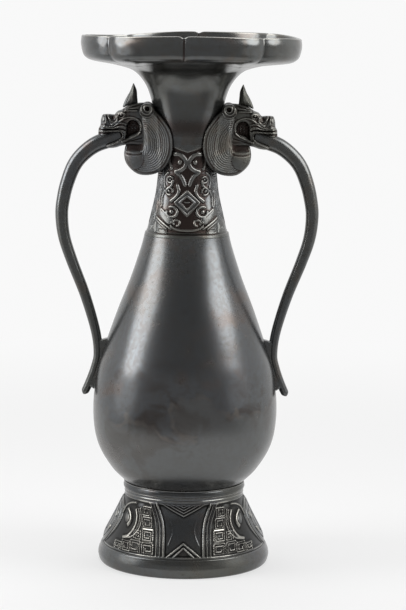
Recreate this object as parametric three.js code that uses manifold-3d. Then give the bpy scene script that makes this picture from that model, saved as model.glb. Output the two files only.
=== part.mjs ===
// Baluster vase in cast bronze: a flared foot ring, a pear shaped belly, a slim neck under a lobed dish
// mouth, and two handles that leave a dragon's jaws and run down to the shoulder.
// Millimetres, +Z up. The origin lies under the centre of the foot, the front faces -Y.
import * as THREE from 'three';
import { mergeVertices } from 'three/addons/utils/BufferGeometryUtils.js';
import Module from 'manifold-3d';

const wasm = await Module();
wasm.setup();

// Fit between separately cast pieces
const clearance = 0.3;
const mergeDistance = 1e-4;

// Foot ring
const footHeight = 43.6;
const footRestRadius = 52;
const footBandRadius = 53.9;
const footBandHeight = 11.4;
const footShoulderRadius = 52;
const footTopRadius = 37.2;
const footWall = 3.5;
const maskWidth = 36;
const maskHeight = 29;
const maskSwell = 1.6;

// Collar between foot and belly, and the plate that closes the belly
const collarHeight = 7.3;
const collarRadius = 37.2;
const collarSwell = 0.9;
const collarBore = 31;
const basePlateThickness = 3;

// Belly
const bellyHeight = 155;
const bellyFootRadius = 37.4;
const bellyRadius = 57.3;
const bellyTopRadius = 26.2;
const bellyWall = 3;

// Neck
const neckHeight = 57;
const neckWaistRadius = 18;
const neckTopRadius = 18.6;
const neckWall = 3;
const neckBeadHeight = 1.7;
const neckBeadSwell = 0.6;

// Mouth
const mouthHeight = 65.7;
const mouthWall = 3;
const throatTopRadius = 38.2;
const rimRadius = 67.4;
const rimHeight = 14.6;
const rimOffset = 1.6;
const rimWave = 0.6;
const rimTilt = 0.5;
const rimTiltBearing = THREE.MathUtils.degToRad(35);
const lobeCount = 8;
const notchDepth = 2.4;
const notchSharpness = 6;
const notchTurn = THREE.MathUtils.degToRad(-4.2);
const lobeStartRadius = 45;

// Handles
const lugHeight = 80.5;
const lugStandOff = 2.7;
const lugHalfWidth = 3.2;
const lugEdge = 0.6;
const rodTopThickness = 12;
const rodTailThickness = 4.2;
const rodTopWidth = 9.2;
const rodTailWidth = 6.4;
const rodTipShare = 0.55;
const rodSteps = 22;
const rodSides = 8;

// Dragon heads
const skullHalfWidth = 6;
const skullEdge = 1.2;
const eyeRadius = 3;
const browRise = 1.9;
const browLength = 8.4;
const nostrilRadius = 2.2;
const earRadius = 4;
const earHalfLength = 15.3;
const hornHalfWidth = 2.6;
const cheekWidth = 10.4;
const cheekHeight = 11.4;
const cheekDepth = 2.6;
const mouthGap = 1.2;

// Mane wings on both sides of each head
const maneReach = 19.5;
const maneSlope = 0.32;
const maneInnerOut = -9.8;
const maneEdge = 0.8;
const maneEdgeShare = 0.12;
const curlRadius = 4.9;
const curlSwell = 1.4;
const maneSteps = 26;

// Tenons that hold each handle to the vessel
const neckTenonRadius = 2.6;
const neckTenonRise = 10.9;
const bellyTenonRadius = 1.8;
const bellyTenonRise = 5;

// Facets
const bodySides = 44;
const neckSides = 32;
const mouthSides = 48;
const coreSides = 72;
const ballSides = 8;
const pinSides = 12;

// Heights that follow from the sizes above
const collarBase = footHeight + clearance;
const bellyBase = collarBase + collarHeight + clearance;
const neckBase = bellyBase + bellyHeight + clearance;
const mouthBase = neckBase + neckHeight + clearance;
const lugZ = bellyBase + lugHeight;

const bronze = { color: 0x2b2d2c, roughness: 0.38, metalness: 0.75 };
const wornBronze = { color: 0x3d3d36, roughness: 0.5, metalness: 0.65 };

function v2(x, y) {
  return new THREE.Vector2(x, y);
}

function curveThrough(points, steps) {
  return new THREE.SplineCurve(points).getPoints(steps);
}

function raised(points, height) {
  return points.map((point) => v2(point.x, point.y + height));
}

function radiusAt(outline, height) {
  const above = outline.findIndex((point) => point.y >= height);
  const [low, high] = [outline[above - 1], outline[above]];
  return THREE.MathUtils.mapLinear(height, low.y, high.y, low.x, high.x);
}

// Inner face of a wall: each outline point moves in square to the outline, the ends stay level
function innerFace(outline, wall) {
  const last = outline.length - 1;
  return outline.map((point, i) => {
    if (i === 0 || i === last) return v2(point.x - wall, point.y);
    const along = outline[i + 1].clone().sub(outline[i - 1]).normalize();
    return v2(point.x - along.y * wall, point.y + along.x * wall);
  });
}

function makeManifold(vertProperties, triangles) {
  const triVerts = Uint32Array.from(triangles);
  return new wasm.Manifold(new wasm.Mesh({ numProp: 3, vertProperties, triVerts }));
}

function toSolid(geometry) {
  const bare = new THREE.BufferGeometry();
  bare.setAttribute('position', geometry.getAttribute('position'));
  bare.setIndex(geometry.index);
  const merged = mergeVertices(bare, mergeDistance);
  const corners = merged.index.array;
  const triangles = [];
  for (let i = 0; i < corners.length; i += 3) {
    const [a, b, c] = [corners[i], corners[i + 1], corners[i + 2]];
    if (a !== b && b !== c && c !== a) triangles.push(a, b, c);
  }
  const vertices = Float32Array.from(merged.getAttribute('position').array);
  const solid = makeManifold(vertices, triangles);
  return solid.volume() > 0 ? solid : makeManifold(vertices, triangles.reverse());
}

function toMesh(name, solid, finish) {
  const { vertProperties, triVerts } = solid.getMesh();
  const geometry = new THREE.BufferGeometry();
  geometry.setAttribute('position', new THREE.BufferAttribute(Float32Array.from(vertProperties), 3));
  geometry.setIndex(new THREE.BufferAttribute(Uint32Array.from(triVerts), 1));
  geometry.computeVertexNormals();
  const mesh = new THREE.Mesh(geometry, new THREE.MeshStandardMaterial(finish));
  mesh.name = name;
  return mesh;
}

// A closed profile of radius and height turned about the axis from a starting bearing; reshape may then
// move each point. Bearings start at the front and grow towards +X
function turned(profile, sides, reshape, start = 0) {
  const closed = [...profile, profile[0].clone()];
  const geometry = new THREE.LatheGeometry(closed, sides, start).rotateX(Math.PI / 2);
  const position = geometry.getAttribute('position');
  for (let i = 0; reshape && i < position.count; i += 1) {
    position.setXYZ(i, ...reshape(new THREE.Vector3().fromBufferAttribute(position, i)));
  }
  return toSolid(geometry);
}

function shell(outer, inner, sides, reshape, start) {
  return turned([...outer, ...inner.slice().reverse()], sides, reshape, start);
}

// Rings of equal count joined into one skin, with a fan over each end
function loft(rings) {
  const sides = rings[0].length;
  const points = rings.flat();
  const index = [];
  for (let ring = 0; ring + 1 < rings.length; ring += 1) {
    for (let side = 0; side < sides; side += 1) {
      const a = ring * sides + side;
      const b = ring * sides + ((side + 1) % sides);
      index.push(a, b, b + sides, a, b + sides, a + sides);
    }
  }
  for (const [ring, flip] of [[0, true], [rings.length - 1, false]]) {
    const centre = rings[ring].reduce((sum, p) => sum.add(p), new THREE.Vector3()).divideScalar(sides);
    const hub = points.push(centre) - 1;
    for (let side = 0; side < sides; side += 1) {
      const a = ring * sides + side;
      const b = ring * sides + ((side + 1) % sides);
      index.push(...(flip ? [hub, b, a] : [hub, a, b]));
    }
  }
  const geometry = new THREE.BufferGeometry().setFromPoints(points);
  geometry.setIndex(index);
  return toSolid(geometry);
}

// An outline drawn in the plane of the handles, given a thickness across it
function slab(outline, halfWidth, edge, grow) {
  const geometry = new THREE.ExtrudeGeometry(new THREE.Shape(outline), {
    depth: 2 * (halfWidth - edge),
    bevelThickness: edge + grow,
    bevelSize: edge + grow,
    bevelOffset: -edge,
    bevelSegments: 1,
  });
  geometry.translate(0, 0, edge - halfWidth).rotateX(Math.PI / 2);
  return toSolid(geometry);
}

function ball(centre, halfSizes, side, grow = 0) {
  const [x, y, z] = halfSizes.map((size) => size + grow);
  const geometry = new THREE.SphereGeometry(1, ballSides, ballSides * 0.75).scale(x, y, z);
  return toSolid(geometry.translate(centre.x, side, centre.y));
}

function pin(radius, start, end, height) {
  const geometry = new THREE.CylinderGeometry(radius, radius, end - start, pinSides).rotateZ(Math.PI / 2);
  return toSolid(geometry.translate((start + end) / 2, 0, height));
}

// Outlines of the vessel, from the foot up
const footOutline = [
  v2(footRestRadius, 0),
  v2(footBandRadius, footBandHeight * 0.4),
  v2(footBandRadius - 0.3, footBandHeight * 0.75),
  ...curveThrough([
    v2(footShoulderRadius, footBandHeight),
    v2(footShoulderRadius - 3.6, footBandHeight + 6.4),
    v2(footTopRadius + 6.7, footBandHeight + 14.6),
    v2(footTopRadius + 2.9, footHeight - 9.4),
    v2(footTopRadius, footHeight),
  ], 5),
];
const bellyOutline = raised(curveThrough([
  v2(bellyFootRadius, 0),
  v2(bellyFootRadius + 0.7, 2.2),
  v2(bellyFootRadius + 7.6, 8.6),
  v2(bellyRadius - 4.5, 20.3),
  v2(bellyRadius - 0.9, 32.5),
  v2(bellyRadius, 49),
  v2(bellyRadius - 2.2, 69),
  v2(bellyRadius - 7.3, 86),
  v2(bellyTopRadius + 15.8, bellyHeight - 46),
  v2(bellyTopRadius + 8.4, bellyHeight - 27),
  v2(bellyTopRadius + 2.3, bellyHeight - 8.5),
  v2(bellyTopRadius, bellyHeight),
], 12), bellyBase);
const neckOutline = raised(curveThrough([
  v2(bellyTopRadius - neckBeadSwell, 0),
  v2(neckWaistRadius + 5.4, 10.4),
  v2(neckWaistRadius + 2.1, 25.2),
  v2(neckWaistRadius + 0.6, neckHeight - 19),
  v2(neckWaistRadius, neckHeight - 10),
  v2(neckTopRadius, neckHeight),
], 7), neckBase);
const neckBottom = neckOutline[0];
const neckTop = neckOutline.at(-1);
const neckOuter = [
  v2(neckBottom.x + neckBeadSwell, neckBottom.y),
  v2(neckBottom.x + neckBeadSwell, neckBottom.y + neckBeadHeight),
  ...neckOutline.slice(1, -1),
  v2(neckTop.x + neckBeadSwell, neckTop.y - neckBeadHeight),
  v2(neckTop.x + neckBeadSwell, neckTop.y),
];
const mouthOutline = raised([
  ...curveThrough([
    v2(neckTopRadius, 0),
    v2(neckTopRadius + 1.3, 12),
    v2(neckTopRadius + 2.6, 20),
    v2(neckTopRadius + 6.1, 32),
    v2(throatTopRadius - 9.9, mouthHeight - 27.1),
    v2(throatTopRadius - 5.2, mouthHeight - 22.2),
    v2(throatTopRadius, mouthHeight - 19.7),
  ], 8),
  v2(throatTopRadius + 9.1, mouthHeight - 17.4),
  v2(rimRadius - 9.9, mouthHeight - rimHeight - 1.3),
  v2(rimRadius - 5, mouthHeight - rimHeight),
  v2(rimRadius - 2, mouthHeight - rimHeight + 1.9),
  v2(rimRadius - 1, mouthHeight - rimHeight + 4.9),
  v2(rimRadius, mouthHeight),
], mouthBase);

// Eight rounded lobes meet in sharp notches, deepest at the rim. The hand finished rim stands a little off
// the axis, and rises at the front and the back
function lobed(point) {
  const radius = Math.hypot(point.x, point.y);
  if (radius <= lobeStartRadius) return point;
  const bearing = Math.atan2(point.x, -point.y);
  const share = (radius - lobeStartRadius) / (rimRadius - lobeStartRadius);
  const turn = (bearing - notchTurn) / (2 * Math.PI) * lobeCount;
  const fromLobe = Math.abs(turn - Math.floor(turn) - 0.5) * 2;
  const scale = 1 - notchDepth * share * fromLobe ** notchSharpness / radius;
  const rise = rimWave * Math.cos(2 * bearing) + rimTilt * (1 + Math.cos(bearing - rimTiltBearing));
  return new THREE.Vector3(point.x * scale + rimOffset * share, point.y * scale, point.z + rise * share);
}

// The cast mask on each side of the foot stands out from the slope as a long low bulge
function footMask(point) {
  const radius = Math.hypot(point.x, point.y);
  const across = Math.atan2(Math.abs(point.y), Math.abs(point.x)) * radius / (maskWidth / 2);
  const upward = (point.z - footBandHeight - maskHeight / 2) / (maskHeight / 2);
  const scale = 1 + maskSwell * Math.sqrt(Math.max(0, 1 - across ** 2 - upward ** 2)) / radius;
  return new THREE.Vector3(point.x * scale, point.y * scale, point.z);
}

function foot() {
  const inner = footOutline.filter((_, i) => i % 2 === 0).map((point) => v2(point.x - footWall, point.y));
  return shell(footOutline, inner, bodySides, footMask);
}

function collarRing() {
  const steps = 5;
  const swell = Array.from({ length: steps + 1 }, (_, i) => v2(
    collarRadius + collarSwell * Math.sin(Math.PI * i / steps),
    collarBase + collarHeight * i / steps,
  ));
  const bore = [v2(collarBore, collarBase + collarHeight), v2(collarBore, collarBase)];
  return turned([...swell, ...bore], bodySides);
}

function basePlate() {
  const radius = bellyFootRadius - bellyWall - clearance;
  const top = bellyBase + basePlateThickness;
  return turned([v2(0, bellyBase), v2(radius, bellyBase), v2(radius, top), v2(0, top)], bodySides);
}

function belly() {
  const wall = shell(bellyOutline, innerFace(bellyOutline, bellyWall), bodySides);
  return bothSides(bellyTenon(clearance)).reduce((left, hole) => left.subtract(hole), wall);
}

function neck() {
  return shell(neckOuter, innerFace(neckOutline, neckWall), neckSides);
}

function mouth() {
  const wall = shell(mouthOutline, innerFace(mouthOutline, mouthWall), mouthSides, lobed, notchTurn);
  return bothSides(neckTenon(clearance)).reduce((left, hole) => left.subtract(hole), wall);
}

function bothSides(solid) {
  return [solid, solid.rotate([0, 0, 180])];
}

// The vessel's outer shape as one solid, let out by the clearance, which trims all that touches it
function vesselCore() {
  const outline = [...bellyOutline, ...neckOuter, ...mouthOutline];
  const outer = outline.map((point) => v2(point.x + clearance, point.y));
  return turned([v2(0, outer[0].y), ...outer, v2(0, outer.at(-1).y)], coreSides);
}

function atHead(out, up) {
  return v2(neckTopRadius + out, mouthBase + up);
}

function rodCurve() {
  const lugOut = radiusAt(bellyOutline, lugZ) + lugStandOff;
  const upper = [[28, 2.2], [38.5, -1.9], [46.5, -8.1], [51.8, -15.1], [55.8, -24.6], [58.4, -34],
    [59.9, -45], [58.3, -59], [53.4, -74]].map(([out, up]) => atHead(out, up));
  const lower = [[8.2, 36], [1.7, 14], [0, 0], [1.5, -8.5], [5.3, -19], [8.9, -26.8]]
    .map(([out, up]) => v2(lugOut + out, lugZ + up));
  return new THREE.CatmullRomCurve3([...upper, ...lower].map((p) => new THREE.Vector3(p.x, 0, p.y)));
}

function rod(grow) {
  const curve = rodCurve();
  const rings = [];
  for (let step = 0; step <= rodSteps; step += 1) {
    const share = step / rodSteps;
    const along = curve.getTangentAt(share);
    const across = new THREE.Vector3(-along.z, 0, along.x);
    const tip = step === rodSteps ? rodTipShare : 1;
    const thickness = THREE.MathUtils.lerp(rodTopThickness, rodTailThickness, Math.sqrt(share)) / 2 * tip + grow;
    const width = THREE.MathUtils.lerp(rodTopWidth, rodTailWidth, share) / 2 * tip + grow;
    const centre = curve.getPointAt(share).addScaledVector(along, (share * 2 - 1) * grow);
    rings.push(Array.from({ length: rodSides }, (_, side) => {
      const angle = 2 * Math.PI * side / rodSides;
      const point = centre.clone().addScaledVector(across, Math.cos(angle) * thickness);
      return point.setY(Math.sin(angle) * width);
    }));
  }
  return loft(rings);
}

function bellyTenon(grow) {
  const height = lugZ + bellyTenonRise;
  const wallOut = radiusAt(bellyOutline, height);
  return pin(bellyTenonRadius + grow, wallOut - 2.6 - grow, wallOut + 4.3 + grow, height);
}

function neckTenon(grow) {
  const start = neckTopRadius + 1.1 - mouthWall + 0.5;
  const end = neckTopRadius + 9.6;
  return pin(neckTenonRadius + grow, start - grow * 5, end + grow, mouthBase + neckTenonRise);
}

// Rod, lug and tail are one casting
function handle(core) {
  const lugOut = radiusAt(bellyOutline, lugZ) + lugStandOff;
  const web = [[-9, 13.5], [-3.4, 12.6], [-1.6, 11.2], [-0.4, 12], [1, 14], [-0.4, 0], [1.5, -10], [5, -20.5],
    [2.4, -23.2], [1, -22.4], [-0.4, -20.6], [-6, -20]].map(([out, up]) => v2(lugOut + out, lugZ + up));
  return rod(0).add(slab(web, lugHalfWidth, lugEdge, 0)).subtract(core).subtract(bellyTenon(clearance));
}

// Each row: distance out from the neck, top, underside, half width
const snoutRows = [
  [19, 21.1, -2.1, 6.2],
  [24, 18.8, -3.1, 7.6],
  [28, 16.8, -2.7, 7.4],
  [33.5, 16.7, 0.4, 7],
  [36.8, 13.4, 4.4, 5.2],
];

function snout(grow) {
  const sides = 8;
  return loft(snoutRows.map(([out, top, under, halfWidth]) => {
    const middle = atHead(out, (top + under) / 2);
    return Array.from({ length: sides }, (_, side) => {
      const angle = 2 * Math.PI * (side + 0.5) / sides;
      const square = (value) => Math.sign(value) * Math.abs(value) ** 0.7;
      const y = (halfWidth + grow) * square(Math.cos(angle));
      const z = middle.y + ((top - under) / 2 + grow) * square(Math.sin(angle));
      return new THREE.Vector3(middle.x + Math.sign(out - 28) * grow, y, z);
    });
  }));
}

function headMass(grow) {
  const outline = [[-2, -6.4], [-2, 21.9], [2.5, 24.6], [11, 23.9], [21.8, 20.2], [26.6, 17.1],
    [27, -2.6], [21.6, -3.2], [19.4, -6.4]].map(([out, up]) => atHead(out, up));
  const ear = atHead(6.5, 19.9);
  const earLength = 2 * (earHalfLength + grow);
  const ears = toSolid(new THREE.CylinderGeometry(earRadius + grow, earRadius + grow, earLength, pinSides)
    .translate(ear.x, 0, ear.y));
  const swellings = [-1, 1].flatMap((side) => [
    ball(atHead(23.5, 15.2), [eyeRadius, eyeRadius, eyeRadius], side * (skullHalfWidth + 0.3), grow),
    ball(atHead(22.4, 18.4), [browLength / 2, browRise, browRise], side * (skullHalfWidth + 0.4), grow),
    ball(atHead(33, 14), [nostrilRadius, nostrilRadius, nostrilRadius], side * skullHalfWidth * 0.7, grow),
  ]);
  return swellings.reduce((mass, swelling) => mass.add(swelling),
    slab(outline, skullHalfWidth, skullEdge, grow).add(snout(grow)).add(ears));
}

// The parting of the jaws, and the hollow behind the jaw on each cheek
function jawCuts() {
  const parting = atHead(29, 6.9);
  const depth = snoutRows.at(-1)[0];
  const gap = toSolid(new THREE.BoxGeometry(depth, 4 * skullHalfWidth, mouthGap)
    .translate(parting.x + depth / 2, 0, parting.y));
  const cheeks = [-1, 1].map((side) => ball(atHead(14.2, 6.4), [cheekWidth / 2, cheekDepth, cheekHeight / 2],
    side * skullHalfWidth));
  return cheeks.reduce((cuts, cheek) => cuts.add(cheek), gap);
}

function head(core) {
  return headMass(0).subtract(jawCuts()).subtract(core).subtract(rod(clearance)).subtract(neckTenon(clearance));
}

// Each row of the horn: back edge, front edge and height, drawn in to a point
const hornRows = [
  [11.6, 22, 17.5],
  [12.5, 21.3, 21.5],
  [12.8, 19.6, 26.8],
  [13.2, 17.6, 30.8],
  [14.8, 15.4, 36],
];

function horn() {
  const sides = 6;
  const rings = hornRows.map(([back, front, up]) => {
    const middle = atHead((back + front) / 2, up);
    const reach = (front - back) / 2;
    const base = (hornRows[0][1] - hornRows[0][0]) / 2;
    return Array.from({ length: sides }, (_, side) => {
      const angle = 2 * Math.PI * side / sides;
      const y = hornHalfWidth * Math.sqrt(reach / base) * Math.sin(angle);
      return new THREE.Vector3(middle.x + reach * Math.cos(angle), y, middle.y);
    });
  });
  return loft(rings).subtract(headMass(clearance));
}

// One wing of the mane: it lies against the head inside and leans on the neck, and ends in a curl below
function maneWing(core) {
  const outline = [[8.5, 18.9], [1, 20.7], [-5, 13.9], [-9.4, 6.4], [-9.8, -3.1], [-6.4, -11.8], [0, -18.6],
    [9, -20.2], [16.9, -16.3], [20.8, -9.1], [19.6, -3.1], [17, -5.6], [12.5, -6.7], [8.8, -4.1],
    [8.3, 3.9], [9, 12.9], [8.5, 18.9]].map(([out, up]) => atHead(out, up));
  const outerFace = (out) => maneReach - (out - neckTopRadius - maneInnerOut) * maneSlope;
  const smooth = curveThrough(outline, maneSteps).slice(1);
  const geometry = new THREE.ExtrudeGeometry(new THREE.Shape(smooth), {
    depth: 1 - 2 * maneEdgeShare,
    bevelThickness: maneEdgeShare,
    bevelSize: maneEdge,
    bevelOffset: -maneEdge,
    bevelSegments: 1,
  });
  const position = geometry.getAttribute('position');
  const inner = skullHalfWidth + clearance;
  for (let i = 0; i < position.count; i += 1) {
    const [out, share] = [position.getX(i), position.getZ(i) + maneEdgeShare];
    position.setXYZ(i, out, -THREE.MathUtils.lerp(inner, outerFace(out), share), position.getY(i));
  }
  const curl = atHead(15.2, -9.5);
  const knob = ball(curl, [curlRadius, 2 * curlSwell, curlRadius], curlSwell - outerFace(curl.x));
  return toSolid(geometry).add(knob).subtract(core).subtract(headMass(clearance));
}

function handleSide(side, turn, core) {
  const group = new THREE.Group();
  const wing = maneWing(core);
  const mirrored = wing.mirror([0, 1, 0]);
  const [front, back] = side === 'right' ? [wing, mirrored] : [mirrored, wing];
  group.add(
    toMesh(`${side}_handle`, handle(core), bronze),
    toMesh(`${side}_head`, head(core), wornBronze),
    toMesh(`${side}_horn`, horn(), wornBronze),
    toMesh(`${side}_front_mane`, front, wornBronze),
    toMesh(`${side}_back_mane`, back, wornBronze),
    toMesh(`${side}_neck_tenon`, neckTenon(0), bronze),
    toMesh(`${side}_belly_tenon`, bellyTenon(0), bronze),
  );
  group.rotation.z = turn;
  return group;
}

function vase() {
  const group = new THREE.Group();
  const core = vesselCore();
  group.add(
    toMesh('foot', foot(), bronze),
    toMesh('collar_ring', collarRing(), bronze),
    toMesh('base_plate', basePlate(), bronze),
    toMesh('belly', belly(), bronze),
    toMesh('neck', neck(), wornBronze),
    toMesh('mouth', mouth(), bronze),
    handleSide('right', 0, core),
    handleSide('left', Math.PI, core),
  );
  return group;
}

export default vase();
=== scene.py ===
import math

import bpy
import numpy as np
from mathutils import Matrix, Vector


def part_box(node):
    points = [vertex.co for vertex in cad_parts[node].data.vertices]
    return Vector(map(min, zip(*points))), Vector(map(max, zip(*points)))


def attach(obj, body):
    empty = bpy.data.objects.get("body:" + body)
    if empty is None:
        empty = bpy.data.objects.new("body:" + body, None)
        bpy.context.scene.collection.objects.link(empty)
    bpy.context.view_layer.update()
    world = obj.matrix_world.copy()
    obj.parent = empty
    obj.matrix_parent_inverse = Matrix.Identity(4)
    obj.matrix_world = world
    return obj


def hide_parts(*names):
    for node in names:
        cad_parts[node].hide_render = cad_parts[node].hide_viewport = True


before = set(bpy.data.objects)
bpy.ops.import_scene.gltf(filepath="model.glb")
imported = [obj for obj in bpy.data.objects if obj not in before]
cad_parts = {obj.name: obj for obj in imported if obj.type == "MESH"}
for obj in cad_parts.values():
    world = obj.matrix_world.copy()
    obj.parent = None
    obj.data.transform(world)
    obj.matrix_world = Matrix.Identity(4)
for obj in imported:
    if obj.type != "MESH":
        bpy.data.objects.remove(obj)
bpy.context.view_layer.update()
mm = 0.001  # lengths below are in millimetres, Blender's are in metres

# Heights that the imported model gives, in millimetres
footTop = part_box("foot")[1].z / mm
collarLow, collarTop = (corner.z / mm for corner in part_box("collar_ring"))
bellyLow, bellyTop = (corner.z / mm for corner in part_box("belly"))
neckLow, neckTop = (corner.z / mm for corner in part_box("neck"))
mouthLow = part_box("mouth")[0].z / mm
seam = 0.02  # pieces are let out to meet, all but this


# Plain geometry helpers

def curveThrough(points, count):
    stations = np.asarray(points, float)
    last = len(stations) - 1
    at = np.linspace(0, last, count)
    k = np.minimum(at.astype(int), last - 1)
    w = (at - k)[:, None]
    p0, p1 = stations[np.maximum(k - 1, 0)], stations[k]
    p2, p3 = stations[k + 1], stations[np.minimum(k + 2, last)]
    v0, v1 = (p2 - p0) / 2, (p3 - p1) / 2
    return (2 * p1 - 2 * p2 + v0 + v1) * w**3 + (-3 * p1 + 3 * p2 - 2 * v0 - v1) * w**2 + v0 * w + p1


def evenly(points, pitch):
    points = np.asarray(points, float)
    run = np.r_[0, np.cumsum(np.hypot(*np.diff(points, axis=0).T))]
    at = np.linspace(0, run[-1], max(2, int(round(run[-1] / pitch)) + 1))
    return np.c_[np.interp(at, run, points[:, 0]), np.interp(at, run, points[:, 1])]


def insetLine(points, wall):
    along = np.gradient(points, axis=0)
    along /= np.linalg.norm(along, axis=1)[:, None]
    moved = points + wall * np.c_[-along[:, 1], along[:, 0]]
    moved[0] = points[0] - (wall, 0)
    moved[-1] = points[-1] - (wall, 0)
    return moved


def smoothStep(value, low, high):
    t = np.clip((value - low) / (high - low), 0, 1)
    return t * t * (3 - 2 * t)


def pathDistance(a, z, path):
    path = np.asarray(path, float)
    best = np.full(np.shape(a), 1e9)
    for (a0, z0), (a1, z1) in zip(path[:-1], path[1:]):
        da, dz = a1 - a0, z1 - z0
        t = np.clip(((a - a0) * da + (z - z0) * dz) / max(da * da + dz * dz, 1e-9), 0, 1)
        best = np.minimum(best, (a - a0 - t * da) ** 2 + (z - z0 - t * dz) ** 2)
    return np.sqrt(best)


# Mean over a square of points around each
def blurred(field, reach):
    out = field
    for axis in (0, 1):
        padded = np.concatenate([np.repeat(np.take(out, [0], axis), reach, axis), out,
                                 np.repeat(np.take(out, [-1], axis), reach, axis)], axis)
        run = np.cumsum(np.insert(padded, 0, 0, axis=axis), axis)
        size = out.shape[axis]
        out = (np.take(run, np.arange(2 * reach + 1, 2 * reach + 1 + size), axis)
               - np.take(run, np.arange(size), axis)) / (2 * reach + 1)
    return out


def signedVolume(points, faces):
    fan = [(f[0], f[i], f[i + 1]) for f in faces for i in range(1, len(f) - 1)]
    a, b, c = (points[np.array(fan)[:, i]] for i in range(3))
    return np.einsum("ij,ij->i", a, np.cross(b, c)).sum() / 6


# One smooth mesh that stands in for the named nodes, with a mask of wear and painted light on its points
def makePiece(name, points, faces, finish, replaces, wearAndPaintedLight=None, sharp=60):
    points = np.asarray(points, float)
    faces = [list(map(int, face)) for face in faces]
    if signedVolume(points, faces) < 0:
        faces = [face[::-1] for face in faces]
    mesh = bpy.data.meshes.new(name)
    mesh.from_pydata((points * mm).tolist(), [], faces)
    mesh.polygons.foreach_set("use_smooth", np.ones(len(faces), bool))
    mesh.set_sharp_from_angle(angle=math.radians(sharp))
    heights = mesh.attributes.new("wearAndPaintedLight", "FLOAT", "POINT")
    heights.data.foreach_set("value", np.full(len(points), 0.5) if wearAndPaintedLight is None else wearAndPaintedLight)
    mesh.materials.append(finish)
    piece = bpy.data.objects.new(name, mesh)
    bpy.context.scene.collection.objects.link(piece)
    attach(piece, "root")
    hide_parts(*replaces)
    return piece


# Faces of a grid that closes on itself sideways, and with closed also end to end
def gridFaces(rows, columns, closed=False):
    i, j = np.meshgrid(np.arange(rows if closed else rows - 1), np.arange(columns), indexing="ij")
    i1, j1 = (i + 1) % rows, (j + 1) % columns
    faces = np.stack([i * columns + j, i * columns + j1, i1 * columns + j1, i1 * columns + j], -1)
    return faces.reshape(-1, 4)


# A closed profile of radius and height, turned about the axis. relief lifts the first rows off the
# profile, along its normal; shape may then change radius and height and push the ring aside. Angle 0 is
# the front.
def turnedPiece(name, profile, columns, finish, replaces, relief=None, wearAndPaintedLight=None, shape=None, sharp=60):
    rows = len(profile)
    angle = np.arange(columns) * 2 * np.pi / columns
    along = np.roll(profile, -1, 0) - np.roll(profile, 1, 0)
    along /= np.linalg.norm(along, axis=1)[:, None] + 1e-9
    lift = np.zeros((rows, columns))
    if relief is not None:
        lift[:len(relief)] = relief
    radius = profile[:, :1] + lift * along[:, 1:2]
    height = profile[:, 1:2] - lift * along[:, :1]
    aside = 0
    if shape is not None:
        radius, height, aside = shape(radius, height, angle)
    points = np.stack([radius * np.sin(angle) + aside, -radius * np.cos(angle), height + 0 * radius], -1)
    faces = gridFaces(rows, columns, closed=True)
    tone = np.full((rows, columns), 0.5)
    if wearAndPaintedLight is not None:
        tone[:len(wearAndPaintedLight)] = wearAndPaintedLight
    return makePiece(name, points.reshape(-1, 3), faces, finish, replaces,
                     tone.ravel(), sharp)


# The carving is drawn on a quarter of the turn, from the front to the side, and repeats on the others
def fourFold(quarter):
    half = np.concatenate([quarter, quarter[:, -2::-1]], 1)
    return np.concatenate([half, half[:, -2:0:-1]], 1)


# Heights over a grid, in millimetres: u runs outwards and z up
class Relief:
    ringSteps = 26

    def __init__(self, grid, lift):
        self.u, self.z = grid["u"], grid["z"]
        self.lift = lift

    def ridge(self, path, width, rise):
        d = pathDistance(self.u, self.z, path)
        self.lift = self.lift + rise * np.clip(1 - (d / (width / 2)) ** 2, 0, 1)

    stroke = ridge

    def cut(self, path, width, depth):
        self.ridge(path, width, -depth)

    def dome(self, u, z, wide, tall, rise, power=0.5):
        q = ((self.u - u) / wide) ** 2 + ((self.z - z) / tall) ** 2
        self.lift = self.lift + rise * np.clip(1 - q, 0, 1) ** power

    def ring(self, u, z, wide, tall, width, rise, start, turn):
        t = np.radians(np.linspace(start, start + turn, self.ringSteps))
        self.stroke(np.c_[u + wide * np.cos(t), z + tall * np.sin(t)], width, rise)


# The same on a quarter of a turned wall, where u runs round it from the front to the side
class Carving(Relief):
    ringSteps = 30

    def __init__(self, radius, height, columns, ground):
        angle = np.linspace(0, np.pi / 2, columns)
        around = np.asarray(radius)[:, None] * angle
        upward = np.asarray(height)[:, None] + 0 * angle
        super().__init__({"u": around, "z": upward}, np.full(around.shape, float(ground)))
        self.end = np.asarray(radius)[:, None] * (np.pi / 2)

    # Rises to one level, and lowers nothing that stands above it
    def line(self, path, width, top):
        d = pathDistance(self.u, self.z, path)
        rise = np.sqrt(np.clip(1 - (d / (width / 2)) ** 2, 0, 1))
        raised = self.lift + (top - self.lift) * rise
        self.lift = np.maximum(self.lift, np.where(d < width / 2, raised, -9))

    stroke = line

    def ground(self, mask, level):
        self.lift = np.where(mask, level, self.lift)


# A square key spiral, wound inwards from one corner of its cell
def keySpiral(a, z, wide, tall, pitch, flip=1):
    left, right, low, high = -wide / 2, wide / 2, -tall / 2, tall / 2
    path = [(left, low)]
    while right - left > pitch and high - low > pitch:
        path += [(left, high), (right, high), (right, low), (left + pitch, low)]
        left, right, low, high = left + pitch, right - pitch, low + pitch, high - pitch
        path.append((left, low))
    return [(a + flip * x, z + y) for x, y in path]


print("stage: materials")

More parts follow.
